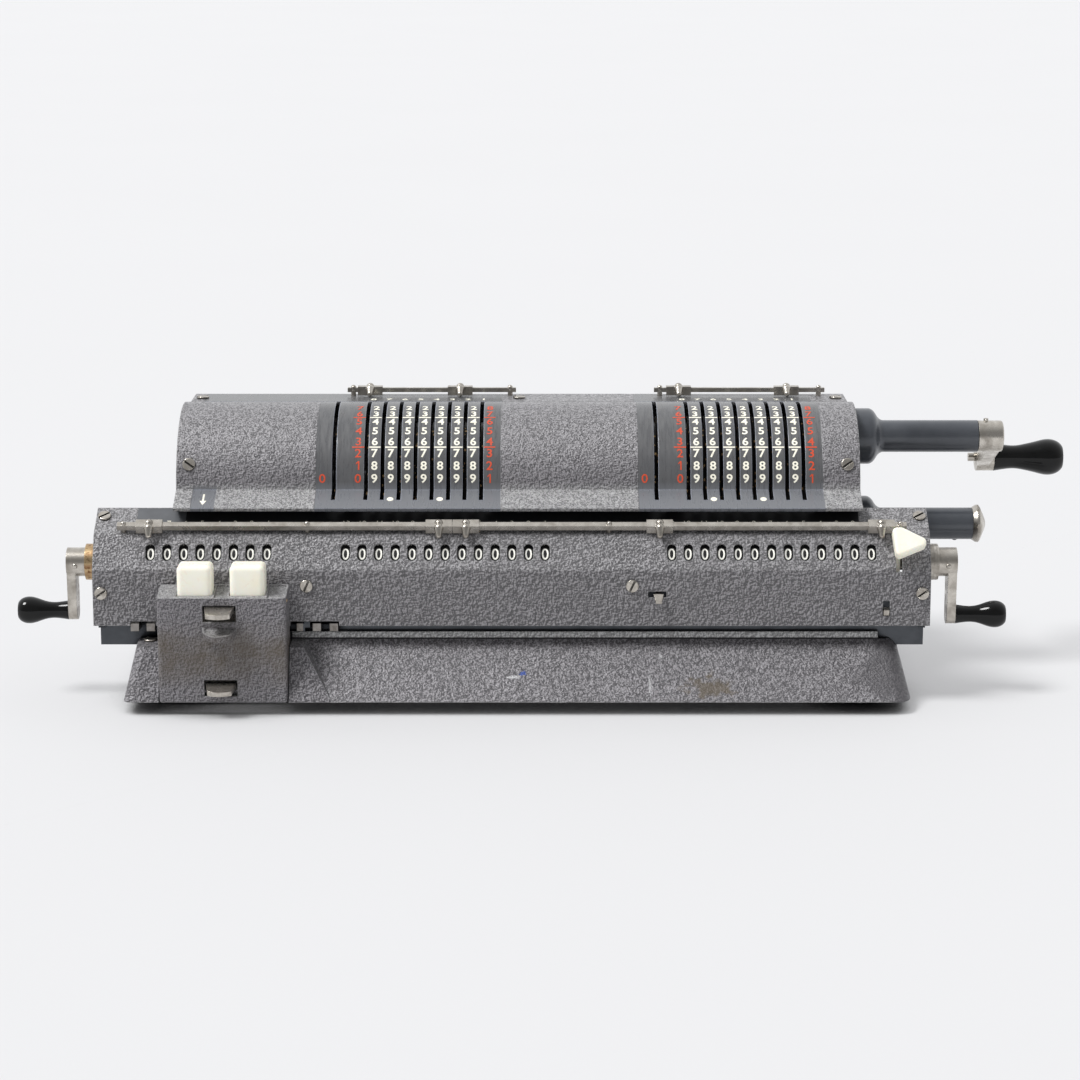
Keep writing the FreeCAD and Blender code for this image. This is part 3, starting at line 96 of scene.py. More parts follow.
# ---------------------------------------------------------------- materials
class Paint:
    """A material's node tree, with short calls for the nodes that the finishes share."""

    def __init__(self, name):
        self.material = bpy.data.materials.new(name)
        self.material.use_nodes = True
        self.tree = self.material.node_tree
        self.shader = self.tree.nodes["Principled BSDF"]
        self.object = self.node("ShaderNodeTexCoord").outputs["Object"]

    def node(self, kind, **settings):
        made = self.tree.nodes.new(kind)
        for name, value in settings.items():
            setattr(made, name, value)
        return made

    def feed(self, socket, value):
        if isinstance(value, bpy.types.NodeSocket):
            self.tree.links.new(value, socket)
        elif value is not None:
            socket.default_value = value

    def math(self, operation, a, b=None, clamp=False):
        made = self.node("ShaderNodeMath", operation=operation, use_clamp=clamp)
        self.feed(made.inputs[0], a)
        self.feed(made.inputs[1], b)
        return made.outputs[0]

    def mix(self, share, a, b):
        made = self.node("ShaderNodeMix", data_type="RGBA")
        self.feed(made.inputs["Factor"], share)
        self.feed(made.inputs["A"], a)
        self.feed(made.inputs["B"], b)
        return made.outputs["Result"]

    def ramp(self, value, low, high, out_low=0.0, out_high=1.0):
        made = self.node("ShaderNodeMapRange")
        self.feed(made.inputs["Value"], value)
        self.feed(made.inputs["From Min"], low)
        self.feed(made.inputs["From Max"], high)
        self.feed(made.inputs["To Min"], out_low)
        self.feed(made.inputs["To Max"], out_high)
        return made.outputs["Result"]

    def stretched(self, x=1.0, y=1.0, z=1.0):
        made = self.node("ShaderNodeMapping")
        self.feed(made.inputs["Vector"], self.object)
        made.inputs["Scale"].default_value = (x, y, z)
        return made.outputs["Vector"]

    def shifted(self, x, y, z):
        """Object coordinates pushed along, in mm."""
        made = self.node("ShaderNodeVectorMath", operation="ADD")
        self.feed(made.inputs[0], self.object)
        made.inputs[1].default_value = (x * MM, y * MM, z * MM)
        return made.outputs["Vector"]

    def open_air(self, reach):
        """How open the place is, 0 to 1, within that reach in mm."""
        made = self.node("ShaderNodeAmbientOcclusion", samples=6)
        made.inputs["Distance"].default_value = reach * MM
        return made.outputs["AO"]

    def noise(self, size, detail=2.0, roughness=0.5, distortion=0.0, vector=None):
        """Noise with blotches of about that size in mm."""
        made = self.node("ShaderNodeTexNoise")
        self.feed(made.inputs["Vector"], vector or self.object)
        made.inputs["Scale"].default_value = 1 / (size * MM)
        made.inputs["Detail"].default_value = detail
        made.inputs["Roughness"].default_value = roughness
        made.inputs["Distortion"].default_value = distortion
        return made.outputs["Fac"]

    def cells(self, size, smoothness=0.4, vector=None):
        made = self.node("ShaderNodeTexVoronoi", feature="SMOOTH_F1")
        self.feed(made.inputs["Vector"], vector or self.object)
        made.inputs["Scale"].default_value = 1 / (size * MM)
        made.inputs["Smoothness"].default_value = smoothness
        return made.outputs["Distance"]

    def axis(self, name):
        made = self.node("ShaderNodeSeparateXYZ")
        self.feed(made.inputs[0], self.object)
        return made.outputs[name]

    def between(self, value, low, high, blur):
        """1 where value, in metres, lies between low and high, with soft edges of that width."""
        rise = self.ramp(value, low - blur / 2, low + blur / 2)
        fall = self.ramp(value, high - blur / 2, high + blur / 2, 1.0, 0.0)
        return self.math("MULTIPLY", rise, fall)

    def rounded(self, radius):
        """Normal with edges rounded to that radius in mm, and how near an edge is."""
        bevel = self.node("ShaderNodeBevel", samples=6)
        bevel.inputs["Radius"].default_value = radius * MM
        true = self.node("ShaderNodeNewGeometry").outputs["Normal"]
        dot = self.node("ShaderNodeVectorMath", operation="DOT_PRODUCT")
        self.feed(dot.inputs[0], bevel.outputs["Normal"])
        self.feed(dot.inputs[1], true)
        edge = self.ramp(dot.outputs["Value"], 0.99, 0.8)
        return bevel.outputs["Normal"], edge

    def warped(self, size, reach):
        """Object coordinates pushed about by noise, both in mm."""
        made = self.node("ShaderNodeTexNoise")
        self.feed(made.inputs["Vector"], self.object)
        made.inputs["Scale"].default_value = 1 / (size * MM)
        centred = self.node("ShaderNodeVectorMath", operation="SUBTRACT")
        self.feed(centred.inputs[0], made.outputs["Color"])
        centred.inputs[1].default_value = (0.5, 0.5, 0.5)
        scaled = self.node("ShaderNodeVectorMath", operation="SCALE")
        self.feed(scaled.inputs[0], centred.outputs["Vector"])
        scaled.inputs["Scale"].default_value = reach * MM
        moved = self.node("ShaderNodeVectorMath", operation="ADD")
        self.feed(moved.inputs[0], self.object)
        self.feed(moved.inputs[1], scaled.outputs["Vector"])
        return moved.outputs["Vector"]

    def cracks(self, size, width, vector=None):
        """1 along the borders of cells of that size in mm, 0 away from them."""
        made = self.node("ShaderNodeTexVoronoi", feature="DISTANCE_TO_EDGE")
        self.feed(made.inputs["Vector"], vector or self.object)
        made.inputs["Scale"].default_value = 1 / (size * MM)
        return self.ramp(made.outputs["Distance"], 0.0, width, 1.0, 0.0)

    def upward(self):
        """How far the surface faces up, -1 to 1."""
        parts = self.node("ShaderNodeSeparateXYZ")
        self.feed(parts.inputs[0], self.node("ShaderNodeNewGeometry").outputs["Normal"])
        return parts.outputs["Z"]

    def facing(self, directions):
        """How squarely the surface faces the nearest of some directions."""
        true = self.node("ShaderNodeNewGeometry").outputs["True Normal"]
        best = 0.0
        for direction in directions:
            dot = self.node("ShaderNodeVectorMath", operation="DOT_PRODUCT")
            self.feed(dot.inputs[0], true)
            dot.inputs[1].default_value = direction
            best = self.math("MAXIMUM", best, self.math("ABSOLUTE", dot.outputs["Value"]))
        return best

    def bump(self, height, depth, normal=None, strength=1.0):
        """Normal from a height of 0 to 1 that stands for depth mm."""
        made = self.node("ShaderNodeBump")
        made.inputs["Strength"].default_value = strength
        made.inputs["Distance"].default_value = depth * MM
        self.feed(made.inputs["Height"], height)
        self.feed(made.inputs["Normal"], normal)
        return made.outputs["Normal"]

    def finish(self, colour, roughness, normal=None, metallic=0.0):
        self.feed(self.shader.inputs["Base Color"], colour)
        self.feed(self.shader.inputs["Roughness"], roughness)
        self.feed(self.shader.inputs["Metallic"], metallic)
        self.feed(self.shader.inputs["Normal"], normal)
        return self.material


def grey(value, warm=0.0):
    return (value * (1 + warm), value, value * (1 - warm), 1.0)


HAMMER_DARK = (0.076, 0.072, 0.078, 1)
HAMMER_LIGHT = (0.305, 0.293, 0.308, 1)
NICKEL_LIGHT, NICKEL_DARK = (0.62, 0.585, 0.53, 1), (0.36, 0.33, 0.29, 1)
BRASS_LIGHT, BRASS_DARK = (0.62, 0.46, 0.26, 1), (0.36, 0.22, 0.12, 1)
STEEL_LIGHT, STEEL_DARK = (0.16, 0.165, 0.175, 1), (0.075, 0.08, 0.088, 1)
RUST = (0.16, 0.07, 0.03, 1)
SLATE = (0.112, 0.113, 0.118, 1)
LIT_SHELF_SLATE = (0.23, 0.24, 0.265, 1)
SLATE_WORN = (0.205, 0.205, 0.205, 1)
STAIN = (0.105, 0.082, 0.055, 1)
CHIP = (0.55, 0.55, 0.56, 1)
CHIP_BLUE = (0.03, 0.07, 0.30, 1)
EDGE_HIGHLIGHT = (0.42, 0.45, 0.53, 1)
SHADE_BLACK = (0.006, 0.006, 0.007, 1)


PLATE_SHADE = (112.0, 128.0)  # heights between which the number plates turn paler, with painted shade on them below
RELIEF_PUSH = 0.32           # how far apart the two heights lie whose difference is the relief, painted in as light and shade
# how strongly the relief is painted in as light and shade
RELIEF_SHADE_SHARE = 2.1


def hammer_height(paint, size, push=0.0):
    """The wrinkles of hammertone enamel, seen push mm further up and to the left."""
    place = paint.shifted(-push, 0.0, push)
    grain = paint.noise(0.95 * size, 3.0, 0.6, 0.5, place)
    waves = paint.noise(2.3 * size, 2.0, 0.5, 0.9, place)
    return paint.math("ADD", paint.math("MULTIPLY", grain, 0.6), paint.math("MULTIPLY", waves, 0.4))


def hammer_relief(paint, size, cracked):
    """Height of the wrinkles, and their tone: painted light and shade on their sides, as lit from the upper
    left, with the thin cracks between islands.
    """
    height = hammer_height(paint, size)
    # painted light and shade: sides that face the upper left are painted lighter, the others darker
    slope = paint.math("SUBTRACT", hammer_height(paint, size, RELIEF_PUSH),
                       hammer_height(paint, size, -RELIEF_PUSH))
    tone = paint.math("SUBTRACT", height, paint.math("MULTIPLY", slope, RELIEF_SHADE_SHARE))
    if cracked:
        cracks = paint.cracks(3.4, 0.16, paint.warped(2.2, 2.8))
        height = paint.math("SUBTRACT", height, paint.math("MULTIPLY", cracks, 0.10))
        tone = paint.math("SUBTRACT", tone, paint.math("MULTIPLY", cracks, cracked))
    return height, tone


def hammertone(name, smooth=None, marks=(), faces=(), ends=None, stain=None, size=1.0, cracked=0.0,
               dust=None, pale=0.0, seam=None):
    """Grey hammertone enamel. smooth(paint) gives where it is the bare slate number plate instead.
    marks are stains, chips and painted shade, as (centre, reach in mm, stretch, colour, how strong). faces
    are the
    directions that the sheet faces: between ends, in mm, all else is the wall of an opening, painted black
    as shade.
    dust(paint) and pale paint lit places paler as painted light; seam(paint) gives lines of painted shade
    in gaps."""
    paint = Paint(name)
    height, tone = hammer_relief(paint, size, cracked)
    normal, edge = paint.rounded(0.8)
    patches = paint.noise(38, 3.0)
    share = paint.ramp(tone, 0.33, 0.67)
    colour = paint.mix(share, HAMMER_DARK, HAMMER_LIGHT)
    # paler tone, for painted light where the surface is lit
    paler = paint.mix(share, grey(0.22), grey(0.60))
    colour = paint.mix(paint.ramp(patches, 0.35, 0.75, 0.0, 0.22), colour, HAMMER_DARK)
    # rounded edges painted paler: partly worn enamel, partly painted highlight
    worn = paint.math("MULTIPLY", edge, paint.ramp(paint.noise(6), 0.25, 0.6, 0.35, 0.8))
    colour = paint.mix(worn, colour, grey(0.42))
    # painted light: surfaces that face up are painted paler, by pale
    colour = paint.mix(paint.ramp(paint.upward(), 0.12, 0.95, pale, pale + 0.20), colour, paler)
    # painted light: dust(paint) gives places painted paler as lit
    if dust:
        colour = paint.mix(dust(paint), colour, paler)
    # painted shade: seam(paint) gives lines painted black in the gaps between parts
    if seam:
        colour = paint.mix(seam(paint), colour, SHADE_BLACK)
    if stain:
        colour = paint.mix(stain(paint), colour, STAIN)
    for centre, reach, stretch, tint, strength in marks:
        away = paint.node("ShaderNodeVectorMath", operation="DISTANCE")
        paint.feed(away.inputs[0], paint.stretched(*stretch))
        away.inputs[1].default_value = at(*centre) * Vector(stretch)
        swing = 0.6 * reach * MM
        ragged = paint.math("ADD", away.outputs["Value"],
                            paint.ramp(paint.noise(reach * 0.7, 4.0), 0.3, 0.7, -swing, swing))
        share = paint.ramp(ragged, reach * MM, reach * 0.45 * MM, 0.0, strength)
        colour = paint.mix(share, colour, tint)
    roughness = paint.ramp(height, 0.35, 0.65, 0.46, 0.32)
    depth = height
    if smooth:
        share = smooth(paint)
        scuffs = paint.noise(2.4, 4.0, 0.6, vector=paint.stretched(1.5, 0.22, 0.22))
        plate = paint.mix(paint.ramp(scuffs, 0.42, 0.75, 0.0, 0.6), SLATE, SLATE_WORN)
        plate = paint.mix(paint.ramp(paint.noise(11, 3.0), 0.5, 0.75, 0.0, 0.3), plate, grey(0.15, 0.05))
        # painted shade: the number plates darker towards the bottom, as they face away from the light
        low = paint.ramp(paint.axis("Z"), PLATE_SHADE[0] * MM, PLATE_SHADE[1] * MM, 0.62, 0.0)
        plate = paint.mix(low, plate, SLATE)
        # painted light: the plates paler and bluer where they run on to the lit ledge
        shelf = paint.ramp(paint.axis("Y"), at(0, LEDGE_EDGE, 0).y, at(0, LEDGE_EDGE + 0.6, 0).y, 0.55, 0.0)
        plate = paint.mix(shelf, plate, LIT_SHELF_SLATE)
        # painted highlight along the plates' edges
        plate = paint.mix(paint.math("MULTIPLY", edge, 0.9), plate, EDGE_HIGHLIGHT)
        colour = paint.mix(share, colour, plate)
        roughness = paint.ramp(share, 0.0, 1.0, roughness, paint.ramp(scuffs, 0.4, 0.8, 0.26, 0.40))
        depth = paint.math("MULTIPLY", height, paint.ramp(share, 0.0, 1.0, 1.0, 0.06))
    # painted shade: the walls of the openings are painted near black
    if faces:
        x = paint.axis("X")
        inner = paint.between(x, at(ends[0], 0, 0).x, at(ends[1], 0, 0).x, 0.1 * MM)
        wall = paint.math("MULTIPLY", inner, paint.ramp(paint.facing(faces), 0.6, 0.5))
        colour = paint.mix(wall, colour, SHADE_BLACK)
    # painted shade in narrow corners and slots
    crevice_shade = paint.ramp(paint.open_air(1.6), 0.5, 0.22, 0.0, 0.85)
    colour = paint.mix(crevice_shade, colour, grey(0.012))
    normal = paint.bump(depth, 0.5, normal)
    paint.shader.inputs["Specular IOR Level"].default_value = 0.55
    return paint.finish(colour, roughness, normal, 0.12)


def number_panels(paint):
    """The smooth plates round the setting slots, with the place of the arrow on the ledge."""
    x, y = paint.axis("X"), paint.axis("Y")
    share = 0.0
    for offset in (0.0, GROUP):
        low, high = at(PANEL_LEFT + offset, 0, 0).x, at(PANEL_RIGHT + offset, 0, 0).x
        share = paint.math("ADD", share, paint.between(x, low, high, 0.4 * MM))
    arrow = paint.between(x, at(ARROW_PANEL[0], 0, 0).x, at(ARROW_PANEL[1], 0, 0).x, 0.4 * MM)
    ledge = paint.ramp(y, at(0, LEDGE_EDGE, 0).y, at(0, LEDGE_EDGE + 0.4, 0).y, 1.0, 0.0)
    return paint.math("ADD", share, paint.math("MULTIPLY", arrow, ledge), clamp=True)


def ledge_light(paint):
    """Painted light: the ledge under the setting slots painted paler and mottled, as lit from above."""
    ledge = paint.ramp(paint.axis("Y"), at(0, LEDGE_EDGE, 0).y, at(0, LEDGE_EDGE + 0.6, 0).y, 1.0, 0.0)
    return paint.math("MULTIPLY", ledge, paint.ramp(paint.noise(2.0, 3.0), 0.35, 0.65, 0.3, 0.72))


def rib_front(paint):
    return paint.ramp(paint.axis("Y"), at(0, RIB_FRONT + 0.7, 0).y, at(0, RIB_FRONT + 0.4, 0).y)


def rib_light(paint):
    """Painted light: the rib along the top of the base's front painted paler, as lit from the front."""
    above = paint.ramp(paint.axis("Z"), (RIB_SHADE_LINE[1] - 0.1) * MM, (RIB_SHADE_LINE[1] + 0.3) * MM)
    return paint.math("MULTIPLY", rib_front(paint), above)


def base_shade_lines(paint):
    """Painted shade: dark lines in the gaps at the foot of that rib and along both sides of the key box."""
    x, z = paint.axis("X"), paint.axis("Z")
    line = paint.math("MULTIPLY", paint.between(z, RIB_SHADE_LINE[0] * MM, RIB_SHADE_LINE[1] * MM, 0.2 * MM),
                      paint.ramp(paint.upward(), 0.95, 0.85))
    for edge, side in zip((node_box("key_housing")[0][0], node_box("key_housing")[1][0]), (-1, 1)):
        low, high = sorted((at(edge - side, 0, 0).x, at(edge + BOX_GAP * side, 0, 0).x))
        line = paint.math("ADD", line, paint.between(x, low, high, 0.1 * MM))
    return paint.math("MULTIPLY", rib_front(paint), line, clamp=True)


def box_top_light(paint):
    """Painted light: the top of the key box and its rounded upper edges painted paler, as lit from above.
    """
    return paint.ramp(paint.upward(), 0.1, 0.6, 0.0, 0.45)


def strip_panels(paint):
    """The smooth plates on the top strip: the left one runs on to the left to its end."""
    x = paint.axis("X")
    left = paint.between(x, at(-160.0, 0, 0).x, at(PANEL_RIGHT, 0, 0).x, 0.4 * MM)
    right = paint.between(x, at(PANEL_LEFT + GROUP, 0, 0).x, at(PANEL_RIGHT + GROUP, 0, 0).x, 0.4 * MM)
    top = paint.ramp(paint.axis("Z"), 128.5 * MM, 129.0 * MM)
    return paint.math("MULTIPLY", paint.math("ADD", left, right, clamp=True), top)


def box_stain(paint):
    """The brown band of handling across the middle of the key box."""
    band = paint.between(paint.axis("Z"), 19 * MM, 41 * MM, 14 * MM)
    return paint.math("MULTIPLY", band, paint.ramp(paint.noise(12, 4.0, 0.6), 0.3, 0.62, 0.15, 0.72))


def metal(name, light, dark, roughness=(0.22, 0.42), blotch=7.0, edge_tint=None, grain=1.0,
          rust=None, metallic=1.0):
    """Bare or plated metal with cloudy tarnish, fine grain and brighter edges, partly wear and partly
    painted highlight.
    """
    paint = Paint(name)
    normal, edge = paint.rounded(0.3)
    clouds = paint.noise(blotch, 5.0, 0.6, 0.4)
    colour = paint.mix(paint.ramp(clouds, 0.35, 0.68), light, dark)
    # brighter edges: partly wear, partly painted highlight
    if edge_tint:
        colour = paint.mix(paint.math("MULTIPLY", edge, 0.6), colour, edge_tint)
    if rust:
        spots = paint.ramp(paint.noise(2.2, 4.0, 0.65), rust[1], rust[1] + 0.1)
        colour = paint.mix(spots, colour, rust[0])
    fine = paint.noise(0.5, 2.0)
    rough = paint.ramp(clouds, 0.3, 0.7, *roughness)
    normal = paint.bump(fine, 0.012 * grain, normal)
    return paint.finish(colour, rough, normal, metallic)


CARRIAGE_STEEL_LIGHT = (0.10, 0.106, 0.116, 1)
CLIP_HEIGHTS = (35.5, 39.7)  # of the nickel clips of the carriage frame
CLIP_ENDS = (-195.0, -70.0)
CLIP_BACK = -60.7
MIDDLE_PLATE = (-103.6, -99.9)   # bearing plate between the clips
RING_PITCH = 1.6             # of the fine rings turned into the nickel bush
SHADE_GAP_REACH = 5.0              # the steel is painted black as shade in gaps narrower than this


def carriage_steel(name):
    """Dark steel of the carriage frame, with its bushes in stained brass and in ringed nickel, and
    with nickel clips painted darker as shade, and painted black as shade in its narrow gaps."""
    paint = Paint(name)
    normal = paint.rounded(0.3)[0]
    x, y, z = paint.axis("X"), paint.axis("Y"), paint.axis("Z")
    clouds = paint.noise(4.0, 5.0, 0.6, 0.4)
    tarnish = paint.ramp(clouds, 0.38, 0.64)
    steel = paint.mix(paint.ramp(paint.noise(30.0), 0.35, 0.65), CARRIAGE_STEEL_LIGHT, STEEL_DARK)
    # painted shade: the steel painted black in narrow gaps
    steel = paint.mix(paint.ramp(paint.open_air(SHADE_GAP_REACH), 0.5, 0.85), SHADE_BLACK, steel)
    nickel = paint.mix(tarnish, NICKEL_LIGHT, NICKEL_DARK)
    brass = paint.mix(tarnish, BRASS_LIGHT, BRASS_DARK)
    brass = paint.mix(paint.ramp(paint.noise(2.0, 4.0, 0.65), 0.56, 0.66), brass, RUST)
    rings = paint.math("SINE", paint.math("MULTIPLY", x, 2 * math.pi / (RING_PITCH * MM)))
    nickel = paint.mix(paint.math("MULTIPLY", paint.ramp(rings, 0.2, 0.9), 0.5), nickel, NICKEL_DARK)
    left = paint.ramp(x, at(CARRIAGE_LOW[0], 0, 0).x, at(CARRIAGE_LOW[0] - 0.2, 0, 0).x)
    right = paint.ramp(x, at(CARRIAGE_HIGH[0], 0, 0).x, at(CARRIAGE_HIGH[0] + 0.2, 0, 0).x)
    clips = paint.math("MULTIPLY", paint.ramp(y, at(0, CLIP_BACK, 0).y, at(0, CLIP_BACK - 0.2, 0).y),
                       paint.between(z, CLIP_HEIGHTS[0] * MM, CLIP_HEIGHTS[1] * MM, 0.1 * MM))
    clips = paint.math("MULTIPLY", clips,
                       paint.between(x, at(CLIP_ENDS[0], 0, 0).x, at(CLIP_ENDS[1], 0, 0).x, 0.1 * MM))
    plate = paint.between(x, at(MIDDLE_PLATE[0], 0, 0).x, at(MIDDLE_PLATE[1], 0, 0).x, 0.1 * MM)
    clips = paint.math("SUBTRACT", clips, plate, clamp=True)
    colour = paint.mix(right, steel, nickel)
    # the clips' nickel, with its clouds, painted darker as shade under the carriage
    shaded_clip_metal = paint.mix(paint.ramp(clouds, 0.35, 0.6), grey(0.16, 0.1), grey(0.34, 0.06))
    colour = paint.mix(clips, colour, shaded_clip_metal)
    colour = paint.mix(left, colour, brass)
    normal = paint.bump(paint.noise(0.5, 2.0), 0.012, normal)
    return paint.finish(colour, paint.ramp(clouds, 0.3, 0.7, 0.28, 0.45), normal, 1.0)


def gloss_handle(name, with_pin=False):
    """Black lacquer, with the steel pin that runs out of the left end of the crank's handle."""
    paint = Paint(name)
    cloudy = paint.ramp(paint.noise(10.0, 4.0), 0.35, 0.7)
    colour = paint.mix(cloudy, grey(0.003), grey(0.006))
    pin = 0.0
    if with_pin:
        arm = node_box("crank_arm")[1][0]
        pin = paint.ramp(paint.axis("X"), at(arm + 0.1, 0, 0).x, at(arm, 0, 0).x)
        colour = paint.mix(pin, colour, paint.mix(cloudy, NICKEL_LIGHT, NICKEL_DARK))
    rough = paint.ramp(paint.noise(1.1, 3.0), 0.5, 0.8, 0.09, 0.16)
    paint.shader.inputs["Specular IOR Level"].default_value = 0.3
    return paint.finish(colour, rough, paint.bump(paint.noise(5.0), 0.02), pin)


def slotted_nickel(name, reach=1.6):
    """Nickel darkened in slots and other deep places, partly grime and partly painted shade."""
    paint = Paint(name)
    normal = paint.rounded(0.3)[0]
    clouds = paint.noise(3.0, 5.0, 0.6, 0.4)
    colour = paint.mix(paint.ramp(clouds, 0.35, 0.68), NICKEL_LIGHT, NICKEL_DARK)
    # painted shade, with grime, in slots and other deep places
    shade_and_grime = paint.ramp(paint.open_air(reach), 0.80, 0.58)
    colour = paint.mix(shade_and_grime, colour, grey(0.01))
    return paint.finish(colour, paint.ramp(clouds, 0.3, 0.7, 0.24, 0.42),
                        paint.bump(paint.noise(0.5, 2.0), 0.012, normal), 1.0)


def enamel(name, light, dark, roughness=0.3, blotch=18.0, metallic=0.0, coat=0.0, grain=0.4):
    """Smooth paint or plastic with faint clouds and dust."""
    paint = Paint(name)
    normal = paint.rounded(0.5)[0]
    clouds = paint.noise(blotch, 4.0)
    colour = paint.mix(paint.ramp(clouds, 0.35, 0.7), light, dark)
    dust = paint.ramp(paint.noise(1.1, 3.0), 0.55, 0.8, 0.0, 0.12)
    rough = paint.math("ADD", dust, roughness)
    normal = paint.bump(paint.noise(2.6, 2.0), 0.03 * grain, normal)
    paint.shader.inputs["Coat Weight"].default_value = coat
    paint.shader.inputs["Coat Roughness"].default_value = 0.12
    return paint.finish(colour, rough, normal, metallic)


IVORY_LIGHT = (0.90, 0.88, 0.77, 1)
IVORY_AGED = (0.86, 0.83, 0.68, 1)
IVORY_EDGE = (0.66, 0.55, 0.34, 1)
IVORY_SPECK = (0.45, 0.27, 0.10, 1)
IVORY_PAINTED_GLOW = (0.90, 0.87, 0.76, 1)


def ivory(name):
    """Yellowed plastic, darker at its edges, with a few brown specks, that glows a little as painted light.
    """
    paint = Paint(name)
    normal, edge = paint.rounded(1.1)
    colour = paint.mix(paint.ramp(paint.noise(9, 4.0), 0.4, 0.7), IVORY_LIGHT, IVORY_AGED)
    colour = paint.mix(paint.math("MULTIPLY", edge, 0.35), colour, IVORY_EDGE)
    specks = paint.ramp(paint.noise(2.4, 5.0, 0.7), 0.71, 0.76)
    colour = paint.mix(specks, colour, IVORY_SPECK)
    # painted light: a faint glow that brightens the plastic
    paint.shader.inputs["Emission Color"].default_value = IVORY_PAINTED_GLOW
    paint.shader.inputs["Emission Strength"].default_value = 0.15
    paint.shader.inputs["Subsurface Weight"].default_value = 0.12
    paint.shader.inputs["Subsurface Scale"].default_value = 1.5 * MM
    normal = paint.bump(paint.noise(5, 2.0), 0.05, normal)
    return paint.finish(colour, paint.ramp(paint.noise(3.0), 0.3, 0.7, 0.24, 0.4), normal)


GLINTING_BRASS = (0.60, 0.40, 0.19, 1)


def pins_in_shade(name, bare_beyond=None):
    """Dark steel painted darker still as shade inside the drum, with brass pins brightened as painted
    glints, in bare nickel beyond a radius from the drum axis.
    """
    paint = Paint(name)
    clouds = paint.noise(3.0, 4.0)
    brass = paint.ramp(paint.cells(3.2, 0.0), 0.26, 0.2)
    # painted shade: the steel near black, as inside the drum
    colour = paint.mix(paint.ramp(clouds, 0.4, 0.7), grey(0.010), grey(0.030, 0.1))
    # brass pins, brightened as painted glints
    colour = paint.mix(brass, colour, GLINTING_BRASS)
    if bare_beyond:
        away = paint.node("ShaderNodeVectorMath", operation="DISTANCE")
        paint.feed(away.inputs[0], paint.stretched(0.0, 1.0, 1.0))
        away.inputs[1].default_value = Vector((0.0, DRUM.y, DRUM.z))
        bare = paint.ramp(away.outputs["Value"], bare_beyond * MM, (bare_beyond + 1.0) * MM)
        nickel = paint.mix(paint.ramp(clouds, 0.35, 0.68), NICKEL_LIGHT, NICKEL_DARK)
        colour = paint.mix(bare, colour, nickel)
    return paint.finish(colour, paint.ramp(clouds, 0.3, 0.7, 0.3, 0.5), paint.bump(clouds, 0.1), 0.8)


def rubber(name):
    """Dusty black rubber."""
    paint = Paint(name)
    dust = paint.noise(4.0, 4.0)
    colour = paint.mix(paint.ramp(dust, 0.45, 0.8), grey(0.018), grey(0.055))
    return paint.finish(colour, paint.ramp(dust, 0.3, 0.7, 0.6, 0.85), paint.bump(dust, 0.15))


def marking(name, colour, worn, glow):
    """Bright paint filled into engraved digits, a little worn, that glows a little as painted light."""
    paint = Paint(name)
    # painted light: the paint glows by that glow
    paint.shader.inputs["Emission Color"].default_value = colour
    paint.shader.inputs["Emission Strength"].default_value = glow
    wear = paint.ramp(paint.noise(1.3, 4.0, 0.6), 0.56, 0.74, 0.0, 0.7)
    return paint.finish(paint.mix(wear, colour, worn), paint.ramp(wear, 0.0, 1.0, 0.45, 0.6),
                        paint.bump(paint.noise(0.4), 0.02))


NICKEL = metal("nickel", NICKEL_LIGHT, NICKEL_DARK, (0.2, 0.4), 6.0, (0.8, 0.77, 0.7, 1))
SCREW_NICKEL = slotted_nickel("screw_nickel")
DEEP_NICKEL = slotted_nickel("deep_nickel", 5.0)
BRASS = metal("stained_brass", BRASS_LIGHT, BRASS_DARK, (0.28, 0.5), 3.5, (0.8, 0.66, 0.42, 1),
              rust=(RUST, 0.6))
CARRIAGE_STEEL = carriage_steel("carriage_steel")
DARK_STEEL = metal("dark_steel", STEEL_LIGHT, STEEL_DARK, (0.32, 0.5), 16.0,
                   (0.4, 0.41, 0.43, 1))
BLUE_STEEL = metal("blue_steel", (0.135, 0.155, 0.175, 1), (0.075, 0.088, 0.105, 1), (0.34, 0.55), 20.0,
                   (0.3, 0.32, 0.35, 1), metallic=0.6)
TUBE_SLATE = enamel("slate_tube", (0.085, 0.092, 0.105, 1), (0.055, 0.06, 0.07, 1), 0.3, 20.0, 0.3, 0.25)
BLACK_GLOSS = gloss_handle("black_gloss")
BLACK_PINNED = gloss_handle("black_gloss_with_pin", True)
SCALE_GREY = enamel("scale_grey", (0.125, 0.13, 0.14, 1), (0.09, 0.094, 0.10, 1), 0.32, 12.0)
SCALE_BLACK = enamel("scale_black", (0.010, 0.010, 0.012, 1), (0.016, 0.016, 0.018, 1), 0.5, 12.0)
BLACK_WHEEL = enamel("black_wheel", (0.012, 0.012, 0.013, 1), (0.022, 0.022, 0.022, 1), 0.35, 6.0)
IVORY = ivory("ivory")
PINS = pins_in_shade("shaded_pinwheels")
LEVER = pins_in_shade("shaded_levers", 34.0)
RUBBER = rubber("rubber")
CREAM_PAINT = marking("cream_marking", (0.92, 0.89, 0.76, 1), (0.45, 0.42, 0.35, 1), 0.10)
